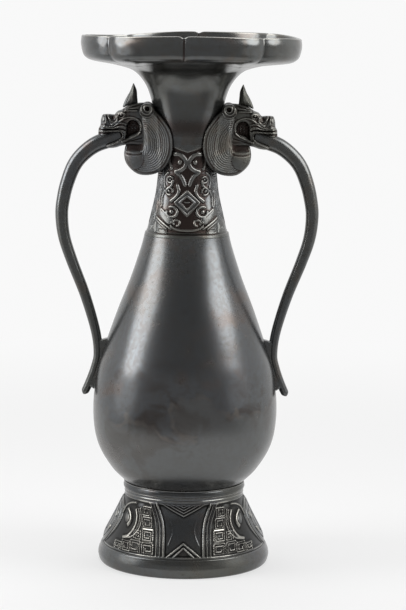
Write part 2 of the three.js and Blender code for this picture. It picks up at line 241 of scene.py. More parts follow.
patina = {
    "plain": (0.107, 0.113, 0.119, 1),
    "dull": (0.098, 0.099, 0.1, 1),
    "brown": (0.118, 0.088, 0.072, 1),
    "olive": (0.118, 0.116, 0.094, 1),
    # pale bared metal, for worn edges and for the painted highlight on the collar's top fillet
    "wearAndPaintedLight": (0.33, 0.32, 0.29, 1),
    "hollow": (0.012, 0.012, 0.011, 1),
    "redHollow": (0.03, 0.019, 0.016, 1),
    "rust": (0.042, 0.031, 0.027, 1),
    "pit": (0.045, 0.043, 0.04, 1),
    "dust": (0.15, 0.152, 0.148, 1),
    "tide": (0.165, 0.15, 0.135, 1),
    "stain": (0.06, 0.05, 0.044, 1),
}


def link(tree, source, target):
    tree.links.new(source, target)


def addNode(tree, kind, **values):
    node = tree.nodes.new(kind)
    for key, value in values.items():
        setattr(node, key, value)
    return node


def mixTone(tree, factor, first, second):
    node = tree.nodes.new("ShaderNodeMix")
    node.data_type = "RGBA"
    link(tree, factor, node.inputs["Factor"])
    for socket, value in ((node.inputs[6], first), (node.inputs[7], second)):
        if isinstance(value, tuple):
            socket.default_value = value
        else:
            link(tree, value, socket)
    return node.outputs[2]


def ramp(tree, source, low, high):
    node = addNode(tree, "ShaderNodeMapRange", interpolation_type="SMOOTHSTEP")
    node.inputs["From Min"].default_value = low
    node.inputs["From Max"].default_value = high
    link(tree, source, node.inputs["Value"])
    return node.outputs["Result"]


def times(tree, first, second, operation="MULTIPLY"):
    node = addNode(tree, "ShaderNodeMath", operation=operation)
    for socket, value in zip(node.inputs, (first, second)):
        if isinstance(value, (int, float)):
            socket.default_value = value
        else:
            link(tree, value, socket)
    return node.outputs[0]


# Heights on the body, in metres: where the dust ends, its dried edge, and the stained band above it
tideMark = {"dust": (0.107, 0.098), "edge": 0.1045, "edgeReach": (7e-6, 5e-7), "band": (0.135, 0.106)}


# Mottling, clouding, grain and pits of old bronze: masks from 0 to 1 and a height
def makeSurfaceGroup():
    group = bpy.data.node_groups.new("oldBronzeSurface", "ShaderNodeTree")
    for name, value in (("Mottle Scale", 34.0), ("Grain Scale", 900.0), ("Pit Amount", 0.5)):
        socket = group.interface.new_socket(name, in_out="INPUT", socket_type="NodeSocketFloat")
        socket.default_value = value
    for name in ("Mottle", "Cloud", "Fine", "Specks", "Dust", "Tide", "Band", "Blotch", "Height"):
        group.interface.new_socket(name, in_out="OUTPUT", socket_type="NodeSocketFloat")
    enter, leave = group.nodes.new("NodeGroupInput"), group.nodes.new("NodeGroupOutput")
    place = addNode(group, "ShaderNodeTexCoord").outputs["Object"]

    def noise(scale, detail, distortion=0.0):
        node = addNode(group, "ShaderNodeTexNoise")
        node.inputs["Detail"].default_value = detail
        node.inputs["Distortion"].default_value = distortion
        link(group, place, node.inputs["Vector"])
        if isinstance(scale, float):
            node.inputs["Scale"].default_value = scale
        else:
            link(group, scale, node.inputs["Scale"])
        return node.outputs["Fac"]

    mottle = noise(enter.outputs["Mottle Scale"], 7.0, 0.8)
    cloud = noise(11.0, 5.0, 0.5)
    grain = noise(enter.outputs["Grain Scale"], 3.0)
    pits = addNode(group, "ShaderNodeTexVoronoi")
    pits.inputs["Scale"].default_value = 420.0
    link(group, place, pits.inputs["Vector"])
    pitMask = ramp(group, pits.outputs["Distance"], 0.0, 0.22)
    pitDepth = times(group, pitMask, enter.outputs["Pit Amount"])
    height = times(group, times(group, grain, 0.35), pitDepth, "ADD")
    link(group, ramp(group, mottle, 0.5, 0.72), leave.inputs["Mottle"])
    link(group, ramp(group, cloud, 0.4, 0.64), leave.inputs["Cloud"])
    link(group, ramp(group, noise(340.0, 6.0, 0.3), 0.36, 0.62), leave.inputs["Fine"])
    link(group, ramp(group, noise(480.0, 2.0), 0.66, 0.72), leave.inputs["Specks"])
    # A dusty lower part of the body, and the broken pale line where its edge dried
    split = addNode(group, "ShaderNodeSeparateXYZ")
    link(group, place, split.inputs[0])
    drift = times(group, times(group, noise(19.0, 6.0, 1.2), 0.5, "SUBTRACT"), 0.09)
    level = times(group, split.outputs["Z"], drift, "ADD")
    link(group, ramp(group, level, *tideMark["dust"]), leave.inputs["Dust"])
    fromLine = times(group, level, tideMark["edge"], "SUBTRACT")
    line = ramp(group, times(group, fromLine, fromLine), *tideMark["edgeReach"])
    broken = ramp(group, noise(60.0, 3.0), 0.36, 0.6)
    link(group, ramp(group, level, *tideMark["band"]), leave.inputs["Band"])
    link(group, ramp(group, noise(42.0, 6.0, 1.0), 0.5, 0.62), leave.inputs["Blotch"])
    link(group, times(group, line, broken), leave.inputs["Tide"])
    link(group, height, leave.inputs["Height"])
    return group


surfaceGroup = makeSurfaceGroup()


# brown, olive and specks are amounts from 0 to 1; a carved finish also darkens hollows and bares edges after
# the mask on its points, which on some pieces also holds painted shade and painted highlight
def bronzeFinish(name, brown, olive, rough, bump, mottle=34.0, specks=0.5, metal=0.86,
                 carved=False, hollow="hollow", hollowed=0.9, bared=0.55, dusty=0, blotched=0):
    finish = bpy.data.materials.new(name)
    finish.use_nodes = True
    tree = finish.node_tree
    shader = tree.nodes["Principled BSDF"]
    surface = tree.nodes.new("ShaderNodeGroup")
    surface.node_tree = surfaceGroup
    surface.inputs["Mottle Scale"].default_value = mottle
    tone = mixTone(tree, surface.outputs["Fine"], patina["dull"], patina["plain"])
    tone = mixTone(tree, times(tree, surface.outputs["Mottle"], brown), tone, patina["brown"])
    tone = mixTone(tree, times(tree, surface.outputs["Cloud"], olive), tone, patina["olive"])
    tone = mixTone(tree, times(tree, surface.outputs["Specks"], specks), tone, patina["pit"])
    if blotched:
        tone = mixTone(tree, times(tree, surface.outputs["Blotch"], blotched), tone, patina["pit"])
    if dusty:
        stained = times(tree, surface.outputs["Band"], surface.outputs["Blotch"])
        tone = mixTone(tree, times(tree, stained, 0.75), tone, patina["stain"])
        tone = mixTone(tree, times(tree, surface.outputs["Dust"], dusty), tone, patina["dust"])
        tone = mixTone(tree, times(tree, surface.outputs["Tide"], dusty), tone, patina["tide"])
    roughness = times(tree, times(tree, surface.outputs["Cloud"], 0.03), rough, "ADD")
    roughness = times(tree, times(tree, surface.outputs["Mottle"], 0.04), roughness, "ADD")
    roughness = times(tree, roughness, times(tree, surface.outputs["Fine"], 0.02), "SUBTRACT")
    if carved:
        wearAndPaintedLight = addNode(tree, "ShaderNodeAttribute", attribute_name="wearAndPaintedLight").outputs["Fac"]
        deep = ramp(tree, wearAndPaintedLight, 0.47, 0.2)
        tone = mixTone(tree, times(tree, deep, hollowed), tone, patina[hollow])
        edge = ramp(tree, wearAndPaintedLight, 0.56, 0.84)
        tone = mixTone(tree, times(tree, edge, bared), tone, patina["wearAndPaintedLight"])
        roughness = times(tree, times(tree, deep, 0.1), roughness, "ADD")
    link(tree, tone, shader.inputs["Base Color"])
    link(tree, roughness, shader.inputs["Roughness"])
    shader.inputs["Metallic"].default_value = metal
    dent = addNode(tree, "ShaderNodeBump")
    dent.inputs["Strength"].default_value = bump
    dent.inputs["Distance"].default_value = 0.00012
    link(tree, surface.outputs["Height"], dent.inputs["Height"])
    link(tree, dent.outputs["Normal"], shader.inputs["Normal"])
    return finish


bodyFinish = bronzeFinish("bodyBronze", 0.55, 0.12, 0.25, 0.22, dusty=0.5)
rimFinish = bronzeFinish("rimBronze", 0.6, 0.4, 0.2, 0.2, 48.0, carved=True, hollow="rust", bared=0.4,
                         blotched=0.25)
rodFinish = bronzeFinish("rodBronze", 0.5, 0.3, 0.24, 0.1, 60.0)
collarFinish = bronzeFinish("collarBronze", 0.4, 0.7, 0.2, 0.16, 60.0, carved=True, bared=0.42)
footFinish = bronzeFinish("footBronze", 0.3, 0.5, 0.22, 0.2, 60.0, carved=True, hollowed=1.0, bared=0.95)
neckFinish = bronzeFinish("neckBronze", 0.6, 0.5, 0.27, 0.35, 60.0, carved=True, hollow="redHollow",
                          bared=0.4)
headFinish = bronzeFinish("headBronze", 0.6, 0.8, 0.37, 0.5, 70.0, carved=True, hollow="redHollow",
                          bared=0.5)
maneFinish = bronzeFinish("maneBronze", 0.7, 0.9, 0.52, 0.5, 70.0, carved=True, hollow="redHollow",
                          bared=0.12)
insideFinish = bronzeFinish("insideBronze", 0.8, 0.6, 0.5, 0.7)

print("stage: foot")

foot = {
    "restRadius": 52.0, "bandRadius": 53.9, "bandHeight": 11.4, "shoulderRadius": 52.0, "topRadius": 37.2,
    "wall": 3.5, "columns": 270, "pitch": 0.29, "ground": -0.6, "keyPitch": 1.25, "frame": 2.35,
}
bandTop = foot["bandHeight"]
footBand = curveThrough([
    (foot["restRadius"], 0), (foot["restRadius"] + 1.0, 1.1), (foot["bandRadius"] - 0.2, 3.4),
    (foot["bandRadius"], 5.4), (foot["bandRadius"] - 0.5, 7.9), (foot["bandRadius"] - 1.25, 9.8),
    (foot["shoulderRadius"] + 0.1, bandTop - 0.3), (foot["shoulderRadius"] - 0.3, bandTop),
], 48)
footSlope = curveThrough([
    (foot["shoulderRadius"] - 0.9, bandTop + 0.3), (foot["shoulderRadius"] - 3.6, bandTop + 6.4),
    (foot["topRadius"] + 6.7, bandTop + 14.6), (foot["topRadius"] + 2.9, footTop - 9.4),
    (foot["topRadius"], footTop + seam),
], 120)


# Nested chevrons over a dark panel, key fret beside it, and half of the mask that fills each side
def carveFoot(line):
    carving = Carving(line[:, 0], line[:, 1], foot["columns"], foot["ground"])
    a, z = carving.u, carving.z
    rimPath = curveThrough([(17.4, 43.6), (15.2, 38), (13.2, 32), (12.5, 25), (12.6, 13.2)], 20)
    rimAt = np.interp(z, rimPath[::-1, 1], rimPath[::-1, 0])
    carving.ground((a < rimAt) & (z < 36.4 + 0.5 * a), -0.95)
    for apex in (36.4, 38.2, 39.9, 41.5):
        end = (43.2 - apex) / 0.5
        carving.line([(-0.6, apex + 0.3), (0, apex), (end, 43.2), (end + 9 * (apex < 37), 42.6)], 0.95, 0.1)
    carving.line([(-0.6, 20.4), (0, 20.9), (10.2, 13.0)], 1.15, 0.1)
    carving.line([(-0.6, 17.9), (0, 18.4), (6.3, 13.0)], 1.0, 0.0)
    carving.line(curveThrough([(8.0, 33.6), (6.8, 29.5), (7.0, 25.6), (9.6, 19.6)], 12), 1.0, -0.35)
    carving.line(curveThrough([(11.9, 38.9), (10.6, 36.4), (9.8, 33.4)], 8), 0.9, -0.5)
    carving.line(rimPath, 1.5, 0.3)
    carving.dome(16.6, 41.2, 1.5, 1.6, 0.55)
    for step in (1, 2):
        carving.line(rimPath + (foot["frame"] * step, 0), 0.85, 0.05)
        carving.line(rimPath + (foot["frame"] * (step - 0.5), 0), 0.5, -0.15)
    pitch = foot["keyPitch"]
    cells = [(23.3, 16.9, 7.6, 5.6, -1), (23.2, 24.2, 7.2, 5.8, 1), (24.0, 31.2, 6.8, 5.6, -1),
             (24.4, 37.6, 6.0, 5.0, 1), (32.2, 17.2, 7.4, 6.2, 1), (40.4, 16.4, 7.2, 5.4, -1),
             (48.4, 15.4, 6.8, 4.2, 1), (31.2, 23.6, 5.4, 4.4, -1)]
    for ca, cz, wide, tall, flip in cells:
        carving.line(keySpiral(ca, cz, wide, tall, pitch, flip), 0.68, 0.2)
    carving.line([(19.4, 20.5), (27.4, 20.4)], 0.6, 0.05)
    carving.line([(19.4, 27.7), (27.8, 27.6)], 0.6, 0.05)
    for shift, width, top in ((0, 1.0, 0.25), (1.7, 0.8, 0.1), (3.6, 1.9, 0.6)):
        arc = [(29.6 + shift, 38.6 - 0.4 * shift), (28.6 + shift, 34), (28.8 + shift, 29.8),
               (31.6 + shift, 25), (36.4 + 0.8 * shift, 21.6), (42 + 0.4 * shift, 20.4)]
        carving.line(curveThrough(arc, 26), width, top)
    carving.line(curveThrough([(41.2, 36.2), (38.4, 33.6), (38.0, 30.4), (40.2, 27.8)], 14), 2.2, 0.75)
    carving.dome(42.6, 31.6, 2.6, 3.0, 0.8)
    carving.line(curveThrough([(34, 41.2), (39.6, 40.2), (45.6, 37.4), (49.2, 32.8)], 16), 1.0, 0.3)
    side = carving.end - a
    bulge = np.clip(1 - (side / 17) ** 2 - ((z - 26) / 15.5) ** 2, 0, 1) ** 0.5
    carving.lift = np.maximum(carving.lift, -0.5 + 2.0 * bulge)
    carving.lift += 0.45 * np.clip(1 - (side / 2.4) ** 2, 0, 1) * smoothStep(z, 13, 18)
    for out, width in ((6.4, 1.0), (10.8, 1.0), (14.6, 0.9)):
        edge = np.abs(np.hypot(side, (z - 25) * 1.05) - out)
        carving.lift -= 0.4 * np.clip(1 - (edge / (width / 2)) ** 2, 0, 1) * (side > 2.2)
    for cz, wide in ((30.6, 2.2), (21.6, 1.8)):
        q = ((side - 8.6) / wide) ** 2 + ((z - cz) / wide) ** 2
        carving.lift += 0.6 * np.clip(1 - q, 0, 1) ** 0.5
    border = np.minimum(np.abs(z - 12.6), np.abs(z - 43.1))
    carving.lift = np.maximum(carving.lift, -0.5 + 0.55 * np.clip(1 - (border / 0.6) ** 2, 0, 1))
    ends = smoothStep(z, line[0, 1], line[0, 1] + 0.5) * (1 - smoothStep(z, line[-1, 1] - 0.4, line[-1, 1]))
    return carving.lift * ends


# Tone of a carved field: its edges bared, its hollows and its lowest grounds dark
def toneOf(lift, reach, span, low, drop):
    deep = np.clip((low - lift) / 0.3, 0, 1) * drop
    return np.clip(0.5 + (lift - blurred(lift, reach)) / span - deep, 0, 1)


footLine = evenly(footSlope, foot["pitch"])
carved = carveFoot(footLine)
footOuter = np.r_[footBand, footLine]
relief = np.r_[np.zeros((len(footBand), foot["columns"])), carved]
shade = toneOf(carved, 5, 0.6, -0.45, 0.4)
along = footLine[:, :1] * np.linspace(0, math.pi / 2, foot["columns"])
quiet = 0.45 + 0.55 * smoothStep(along - 0.13 * (footLine[:, 1:] - 13), 16.6, 18.6)
shade = np.where(shade > 0.5, 0.5 + (shade - 0.5) * quiet, shade)
shade -= 0.16 * smoothStep(along, 29, 33) * (carved < 0.12)
# Painted light on the foot's band: its lower part painted a little darker as painted shade, its upper part
# left plain as a painted highlight along its top
bandPaintedLight = 0.46 + 0.1 * smoothStep(footBand[:, 1:], 6.5, 10)
shade = np.r_[np.repeat(bandPaintedLight, foot["columns"], 1), shade]
footLip = [(foot["restRadius"] - foot["wall"], 0), (foot["bandRadius"] - foot["wall"] - 0.8, 3)]
footInner = evenly(np.r_[footLip, footSlope[::8] - (foot["wall"], 0)], 2.5)[::-1]
turnedPiece("foot_ring", np.r_[footOuter, footInner], 4 * (foot["columns"] - 1), footFinish,
            ["foot"], fourFold(relief), fourFold(shade), sharp=80)

print("stage: collar, belly and neck")

# A round ring over two fine fillets, and a thin one where the belly sits. The ring's face is painted darker
# as painted shade; the fillets are painted pale, as wear on the two low ones and as a painted highlight on
# the thin top one
overlap = 0.26  # how far the turned pieces run into their neighbours
collar = {"radius": 37.2, "bore": 31.0, "columns": 288, "fillets": (1.05, 2.9, 7.3)}
collarOuter = curveThrough([
    (0, -overlap), (0, 0.5), (0.32, 1.05), (0, 1.65), (0.05, 2.3), (0.5, 2.9), (0.42, 3.35), (0.85, 3.8),
    (0.98, 4.4), (0.9, 5.2), (0.68, 6.1), (0.36, 6.8), (0.7, 7.15), (0.66, 7.5),
    (0.2, collarTop - collarLow + overlap),
], 110) + (collar["radius"], collarLow)
collarInner = np.c_[np.full(6, collar["bore"]), np.linspace(collarOuter[-1, 1], collarOuter[0, 1], 6)]
collarRise = collarOuter[:, 1] - collarLow
fillet = sum(np.exp(-((collarRise - rise) / 0.36) ** 2) for rise in collar["fillets"])
# Painted shade darkens the ring's face; the pale fillet lines are wear, and a painted highlight at the top
# one
collarWearAndPaintedLight = np.clip(0.48 - 0.12 * smoothStep(collarRise, 3.4, 4.2) + 0.45 * fillet, 0, 1)
turnedPiece("collar_moulding", np.r_[collarOuter, collarInner], collar["columns"], collarFinish,
            ["collar_ring"], wearAndPaintedLight=np.repeat(collarWearAndPaintedLight[:, None], collar["columns"], 1))

belly = {
    "footRadius": 37.4, "radius": 57.6, "topRadius": 26.45, "wall": 3.0, "waveDepth": 0.05,
    "columns": 320, "pitch": 1.4,
}
bellyHeight = bellyTop - bellyLow
bellyCurve = curveThrough([
    (belly["footRadius"], -0.1), (belly["footRadius"] + 2.0, 2.0), (belly["footRadius"] + 8.3, 8.4),
    (belly["radius"] - 4.5, 20.3), (belly["radius"] - 0.9, 32.5), (belly["radius"], 49),
    (belly["radius"] - 2.2, 69), (belly["radius"] - 7.3, 86), (belly["topRadius"] + 15.8, bellyHeight - 46),
    (belly["topRadius"] + 8.4, bellyHeight - 27), (belly["topRadius"] + 2.3, bellyHeight - 8.5),
    (belly["topRadius"], bellyHeight + overlap),
], 300) + (0, bellyLow)
bellyOuter = evenly(bellyCurve, belly["pitch"])
bellyInner = insetLine(evenly(bellyCurve, 3.0), belly["wall"])[::-1]
angle = np.arange(belly["columns"]) * 2 * np.pi / belly["columns"]
upBelly = bellyOuter[:, 1:]
wave = (np.sin(3 * angle + upBelly / 23) * 0.5 + np.sin(5 * angle - upBelly / 14 + 1.3) * 0.35
        + np.sin(9 * angle + upBelly / 9) * 0.15)
fade = np.sin(np.pi * np.linspace(0, 1, len(bellyOuter)))[:, None]
turnedPiece("belly_body", np.r_[bellyOuter, bellyInner], belly["columns"], bodyFinish,
            ["belly"], -belly["waveDepth"] + belly["waveDepth"] * wave * fade)

neck = {
    "waistRadius": 18.0, "topRadius": 18.6, "wall": 3.0, "bead": 0.6, "beadHeight": 1.8,
    "columns": 156, "pitch": 0.29, "ground": -0.75,
}
neckHeight = neckTop - neckLow
neckCurve = curveThrough([
    (belly["topRadius"] - neck["bead"], -overlap), (neck["waistRadius"] + 5.4, 10.4),
    (neck["waistRadius"] + 2.1, 25.2), (neck["waistRadius"] + 0.6, neckHeight - 19),
    (neck["waistRadius"], neckHeight - 10), (neck["topRadius"], neckHeight + overlap),
], 200) + (0, neckLow)
neckLine = evenly(neckCurve, neck["pitch"])


# Crossed bands over a lozenge in front, with bosses, curls and leaf shapes beside them and fret behind
def carveNeck(line):
    carving = Carving(line[:, 0], line[:, 1], neck["columns"], neck["ground"])
    a, z = carving.u, carving.z
    carving.lift += 0.45 * smoothStep(a, 11, 16)
    carving.ground(z > 259.0 + 0.33 * a, 0.0)
    band = curveThrough([(8.6, 258), (5.2, 257.9), (2.6, 255.9), (0.9, 253.1), (2.0, 250), (4.8, 248.1),
                         (7.6, 247.4)], 30)
    carving.line(band, 2.7, 0.25)
    carving.line([(-0.6, 253.1), (0.9, 253.1)], 2.6, 0.2)
    carving.dome(4.9, 253.1, 1.5, 1.6, 1.1)
    carving.line(curveThrough([(7.2, 246.6), (4.4, 244.8), (2.5, 242), (1.5, 239.4)], 14), 2.5, 0.25)
    carving.line([(-0.9, 234.6), (0, 235.4), (7.7, 228.6), (0, 220.8), (-0.9, 221.6)], 1.6, 0.3)
    carving.line([(-0.9, 231.8), (0, 232.7), (4.7, 228.7), (0, 224.0), (-0.9, 224.9)], 1.4, 0.2)
    between = pathDistance(a, z, [(0, 234.0), (6.2, 228.65), (0, 222.4)])
    carving.lift = np.where(between < 0.9, np.maximum(carving.lift, -0.12), carving.lift)
    carving.line([(-0.4, 228.9), (1.3, 228.9)], 0.8, -0.05)
    carving.ring(11.4, 242.3, 2.1, 1.9, 1.4, 0.25, 200, 300)
    carving.dome(11.4, 242.3, 0.9, 0.8, 0.7)
    carving.line(curveThrough([(9.6, 241.4), (10.2, 239), (13.2, 236.6)], 10), 1.8, 0.35)
    carving.line(curveThrough([(6.3, 238.8), (5.4, 235.6), (6.8, 232.4), (10.6, 229.4)], 16), 2.3, 0.45)
    carving.ring(11.8, 235.2, 2.4, 2.2, 1.5, 0.3, 250, 300)
    carving.dome(12.1, 235.3, 1.1, 1.0, 1.0)
    carving.ring(9.8, 222.9, 3.6, 3.1, 1.9, 0.35, 60, 300)
    carving.dome(10.2, 222.9, 1.6, 1.5, 1.15)
    slab = pathDistance(a, z, [(11.6, 217.7), (18.2, 222.3)])
    carving.lift = np.maximum(carving.lift, np.where(slab < 2.5, 0.45 - 0.25 * (slab / 2.5) ** 4, -9))
    carving.cut([(12.4, 219.6), (17.6, 223.2)], 0.55, 0.3)
    carving.line([(10.6, 212.8), (21.6, 218.9)], 1.9, 0.5)
    carving.line([(13.4, 212.5), (23.4, 217.9)], 1.1, 0.3)
    cradle = [(-1, 211.8), (0, 211.8), (4.6, 212), (8.4, 213.1), (10.2, 214.6)]
    carving.line(curveThrough(cradle, 14), 1.7, 0.3)
    carving.ring(6.7, 216.3, 2.0, 1.8, 1.4, 0.2, 330, 290)
    carving.dome(9.6, 216.1, 0.8, 0.8, 0.7)
    carving.line([(15.4, 235.4), (17.6, 231.4), (17.4, 226.2)], 1.7, 0.25)
    carving.line([(19.6, 234.6), (20.2, 229.6), (18.8, 225.4)], 1.4, 0.15)
    carving.line(curveThrough([(13.0, 246.6), (15.6, 244.4), (16.2, 240.6), (15.2, 237.4)], 12), 1.8, 0.2)
    carving.line([(12.2, 258.6), (12.8, 253.4), (10.6, 249)], 2.0, 0.2)
    carving.line(keySpiral(16.6, 211.0, 6.6, 2.4, 0.95), 0.55, 0.1)
    carving.line(keySpiral(26.4, 213.0, 6.4, 5.2, 1.3, -1), 0.8, -0.05)
    for row, cz in enumerate((220.4, 227.6, 234.8, 242.0, 249.2, 256.4)):
        middle = np.interp(cz, line[:, 1], line[:, 0]) * math.pi / 2
        carving.line(keySpiral(middle - 7.4, cz, 5.6, 5.8, 1.3, 1 if row % 2 else -1), 0.85, -0.12)
    side = carving.end - a
    for out, width in ((3.2, 1.2), (11.4, 0.8)):
        stripe = np.clip(1 - ((side - out) / (width / 2)) ** 2, 0, 1) * (z > 216 - out * 0.4)
        carving.lift = np.maximum(carving.lift, neck["ground"] + 0.7 * stripe)
    border = np.clip(1 - ((z - 209.9) / 0.45) ** 2, 0, 1)
    carving.lift = np.maximum(carving.lift, neck["ground"] + 0.8 * border)
    bead = 1 - smoothStep(z, neckLow + neck["beadHeight"] - 0.12, neckLow + neck["beadHeight"] + 0.22)
    return carving.lift * (1 - bead) + neck["bead"] * bead


carved = carveNeck(neckLine)
neckInner = insetLine(evenly(neckCurve, 3.0), neck["wall"])[::-1]
along = neckLine[:, :1] * np.linspace(0, math.pi / 2, neck["columns"])
shade = toneOf(carved, 5, 0.95, -0.35, 0.32 - 0.2 * smoothStep(along, 8, 12))
calm = 1 - 0.6 * smoothStep(along, 19, 23)
shade = 0.5 + (shade - 0.5) * calm
# The bead at the neck's foot is painted plain and a touch darker: painted shade that dims its highlight
shade = np.where(neckLine[:, 1:] < neckLow + neck["beadHeight"] + 0.3, 0.46, shade)
turnedPiece("neck_sleeve", np.r_[neckLine, neckInner], 4 * (neck["columns"] - 1), neckFinish,
            ["neck"], fourFold(carved), fourFold(shade), sharp=80)

print("stage: mouth")

mouth = {
    "height": 65.6, "wall": 3.0, "throatTop": 38.2, "rim": 67.3, "rimHeight": 14.6, "offset": 1.9,
    "warp": (1.45, 0.6, -1.3, 1.25, 1.4, -1.1, 0.1, 0.6), "lobes": 8, "notchDepth": 2.5,
    "notchSharpness": 4.0, "notchTurn": -4.2, "lobeStart": 45.0, "grooveDepth": 0.4,
    "grooveWidth": 0.03, "notchDip": 1.0, "dipWidth": 0.07, "stretch": 0.021,
    "columns": 640, "edge": 0.8, "lines": ((3.7, 0.3),),
}
rim, rimLow, tall = mouth["rim"], mouth["height"] - mouth["rimHeight"], mouth["height"]
throat = curveThrough([
    (neck["topRadius"], -overlap), (neck["topRadius"] + 1.3, 12), (neck["topRadius"] + 2.6, 20),
    (neck["topRadius"] + 6.1, 32), (mouth["throatTop"] - 9.9, tall - 27.1),
    (mouth["throatTop"] - 5.2, tall - 22.2), (mouth["throatTop"], tall - 19.7),
    (mouth["throatTop"] + 9.1, tall - 17.4),
], 140)
dishUnder = curveThrough([
    throat[-1], (rim - 9.9, rimLow - 1.3), (rim - 6, rimLow - 0.4), (rim - 3.6, rimLow + 0.7),
    (rim - 2.0, rimLow + 2.2), (rim - 1.0, rimLow + 4.4), (rim - 0.25, rimLow + 7.8), (rim, rimLow + 10.6),
    (rim - 0.3, tall - 1.2),
], 70)
lip = [(rim - 0.3 - mouth["edge"] * (1 - math.cos(t)), tall - mouth["edge"] + mouth["edge"] * math.sin(t))
       for t in np.linspace(0, math.pi / 2, 7)]
inside = curveThrough([
    (rim - mouth["wall"] + 0.6, tall - 0.05), (rim - mouth["wall"] - 0.1, tall - 0.8),
    (rim - mouth["wall"] - 1.2, rimLow + 7), (rim - mouth["wall"] - 3, rimLow + 3.2),
    (rim - mouth["wall"] - 7, rimLow + 1.8), (rim - mouth["wall"] - 15, rimLow + 0.4),
], 34)
throatOuter = evenly(throat, 0.6)
for rise, swell in mouth["lines"]:
    throatOuter[:, 0] += swell * np.exp(-((throatOuter[:, 1] - rise) / 0.3) ** 2)
throatInner = insetLine(throat, mouth["wall"])[::-1]
mouthOuter = np.r_[throatOuter, evenly(dishUnder, 0.7)[1:], lip, inside]
mouthProfile = np.r_[mouthOuter, evenly(np.r_[[inside[-1]], throatInner[2:]], 1.5)[1:]] + (0, mouthLow)


def lobePlace(angle):
    turn = (angle - math.radians(mouth["notchTurn"])) / (2 * math.pi) * mouth["lobes"]
    return np.abs(turn - np.floor(turn) - 0.5) * 2


# Only the notch in front, and the one behind, is cut sharply
def frontShare(angle):
    turn = np.sin(angle - math.radians(mouth["notchTurn"]))
    return 0.15 + 0.85 * np.exp(-(turn / 0.25) ** 2)


def lobedRim(radius, height, angle):
    fromLobe = lobePlace(angle)
    share = np.clip((radius - mouth["lobeStart"]) / (rim - mouth["lobeStart"]), 0, 1)
    notch = mouth["notchDepth"] * fromLobe ** mouth["notchSharpness"]
    inGroove = np.clip(1 - (1 - fromLobe) / mouth["grooveWidth"], 0, 1)
    crease = mouth["grooveDepth"] * inGroove * frontShare(angle)
    eighth = angle / (2 * np.pi) * len(mouth["warp"])
    here, onward = (np.array(mouth["warp"])[(eighth.astype(int) + k) % len(mouth["warp"])] for k in (0, 1))
    rise = here + (onward - here) * smoothStep(eighth - np.floor(eighth), 0, 1)
    top = smoothStep(height, mouthLow + rimLow + 8, mouthLow + tall)
    inDip = np.exp(-((1 - fromLobe) / mouth["dipWidth"]) ** 2)
    dip = mouth["notchDip"] * (0.4 + 0.6 * frontShare(angle)) * inDip * top
    shrink = notch * share + crease * share**3
    wider = 1 + mouth["stretch"] * share * np.sin(angle) ** 2
    return (radius - shrink) * wider, height + rise * share - dip, mouth["offset"] * share


rimAngle = np.arange(mouth["columns"]) * 2 * np.pi / mouth["columns"]
notchTone = 0.5 - 0.32 * np.exp(-((1 - lobePlace(rimAngle)) / 0.03) ** 2) * frontShare(rimAngle)
onRim = smoothStep(mouthProfile[:, 0], rim - 5, rim - 3)[:, None]
lipTone = 0.4 * np.exp(-((mouthProfile[:, 1:] - mouthLow - tall + 0.35) / 0.4) ** 2)
throatRise = mouthProfile[:, 1:] - mouthLow
outsideOnly = mouthProfile[:, :1] > 18
lowThroat = 0.24 * smoothStep(throatRise, 3.9, 4.6) * np.exp(-((throatRise - 10) / 7) ** 2) * outsideOnly
mouthTone = 0.5 + (notchTone - 0.5 + lipTone) * onRim - lowThroat
turnedPiece("lobed_mouth", mouthProfile, mouth["columns"], rimFinish, ["mouth"],
            wearAndPaintedLight=np.clip(mouthTone, 0, 1), shape=lobedRim)

print("stage: handles")

handle = {
    "upper": [(22.4, 4.4), (28, 2.2), (38.5, -1.9), (46.5, -8.1), (51.8, -15.1), (55.6, -24.6), (58.0, -34),
              (59.3, -45), (57.8, -59), (53.0, -74)],
    "lower": [(8.2, 36), (1.7, 14), (0, 0), (1.5, -8.5), (5.3, -19), (8.9, -26.8)],
    "web": [(-9, 9.6), (-3.4, 8.6), (-1.6, 7.4), (-0.4, 8.2), (1, 10.6), (-0.4, 0), (1.5, -10), (5, -20.5),
            (2.4, -23.2), (1, -22.4), (-0.4, -20.6), (-6, -20)],
    "lugHeight": 80.5, "standOff": 2.7, "lugHalfWidth": 3.2, "topThickness": 11.6, "tailThickness": 5.0,
    "topWidth": 9.2, "tailWidth": 6.4, "taper": 0.6, "sides": 48, "pitch": 0.7, "voxel": 0.4,
}
lugZ = bellyLow + handle["lugHeight"]
lugOut = np.interp(lugZ, bellyCurve[:, 1], bellyCurve[:, 0]) + handle["standOff"]


def rodPath():
    upper = [(neck["topRadius"] + out, mouthLow + up) for out, up in handle["upper"]]
    lower = [(lugOut + out, lugZ + up) for out, up in handle["lower"]]
    return evenly(curveThrough(upper + lower, 600), handle["pitch"])


# Half thickness across the rod's path and half width, both thinning towards the tail
def rodFrame(path):
    share = np.linspace(0, 1, len(path))
    along = np.gradient(path, axis=0)
    along /= np.linalg.norm(along, axis=1)[:, None]
    tip = np.sqrt(np.clip((1 - share) / 0.012, 0.02, 1))
    thinning = (handle["topThickness"] - handle["tailThickness"]) * share ** handle["taper"]
    thick = (handle["topThickness"] - thinning) / 2 * tip
    wide = (handle["topWidth"] + (handle["tailWidth"] - handle["topWidth"]) * share) / 2 * np.sqrt(tip)
    return share, along, np.c_[-along[:, 1], along[:, 0]], thick, wide


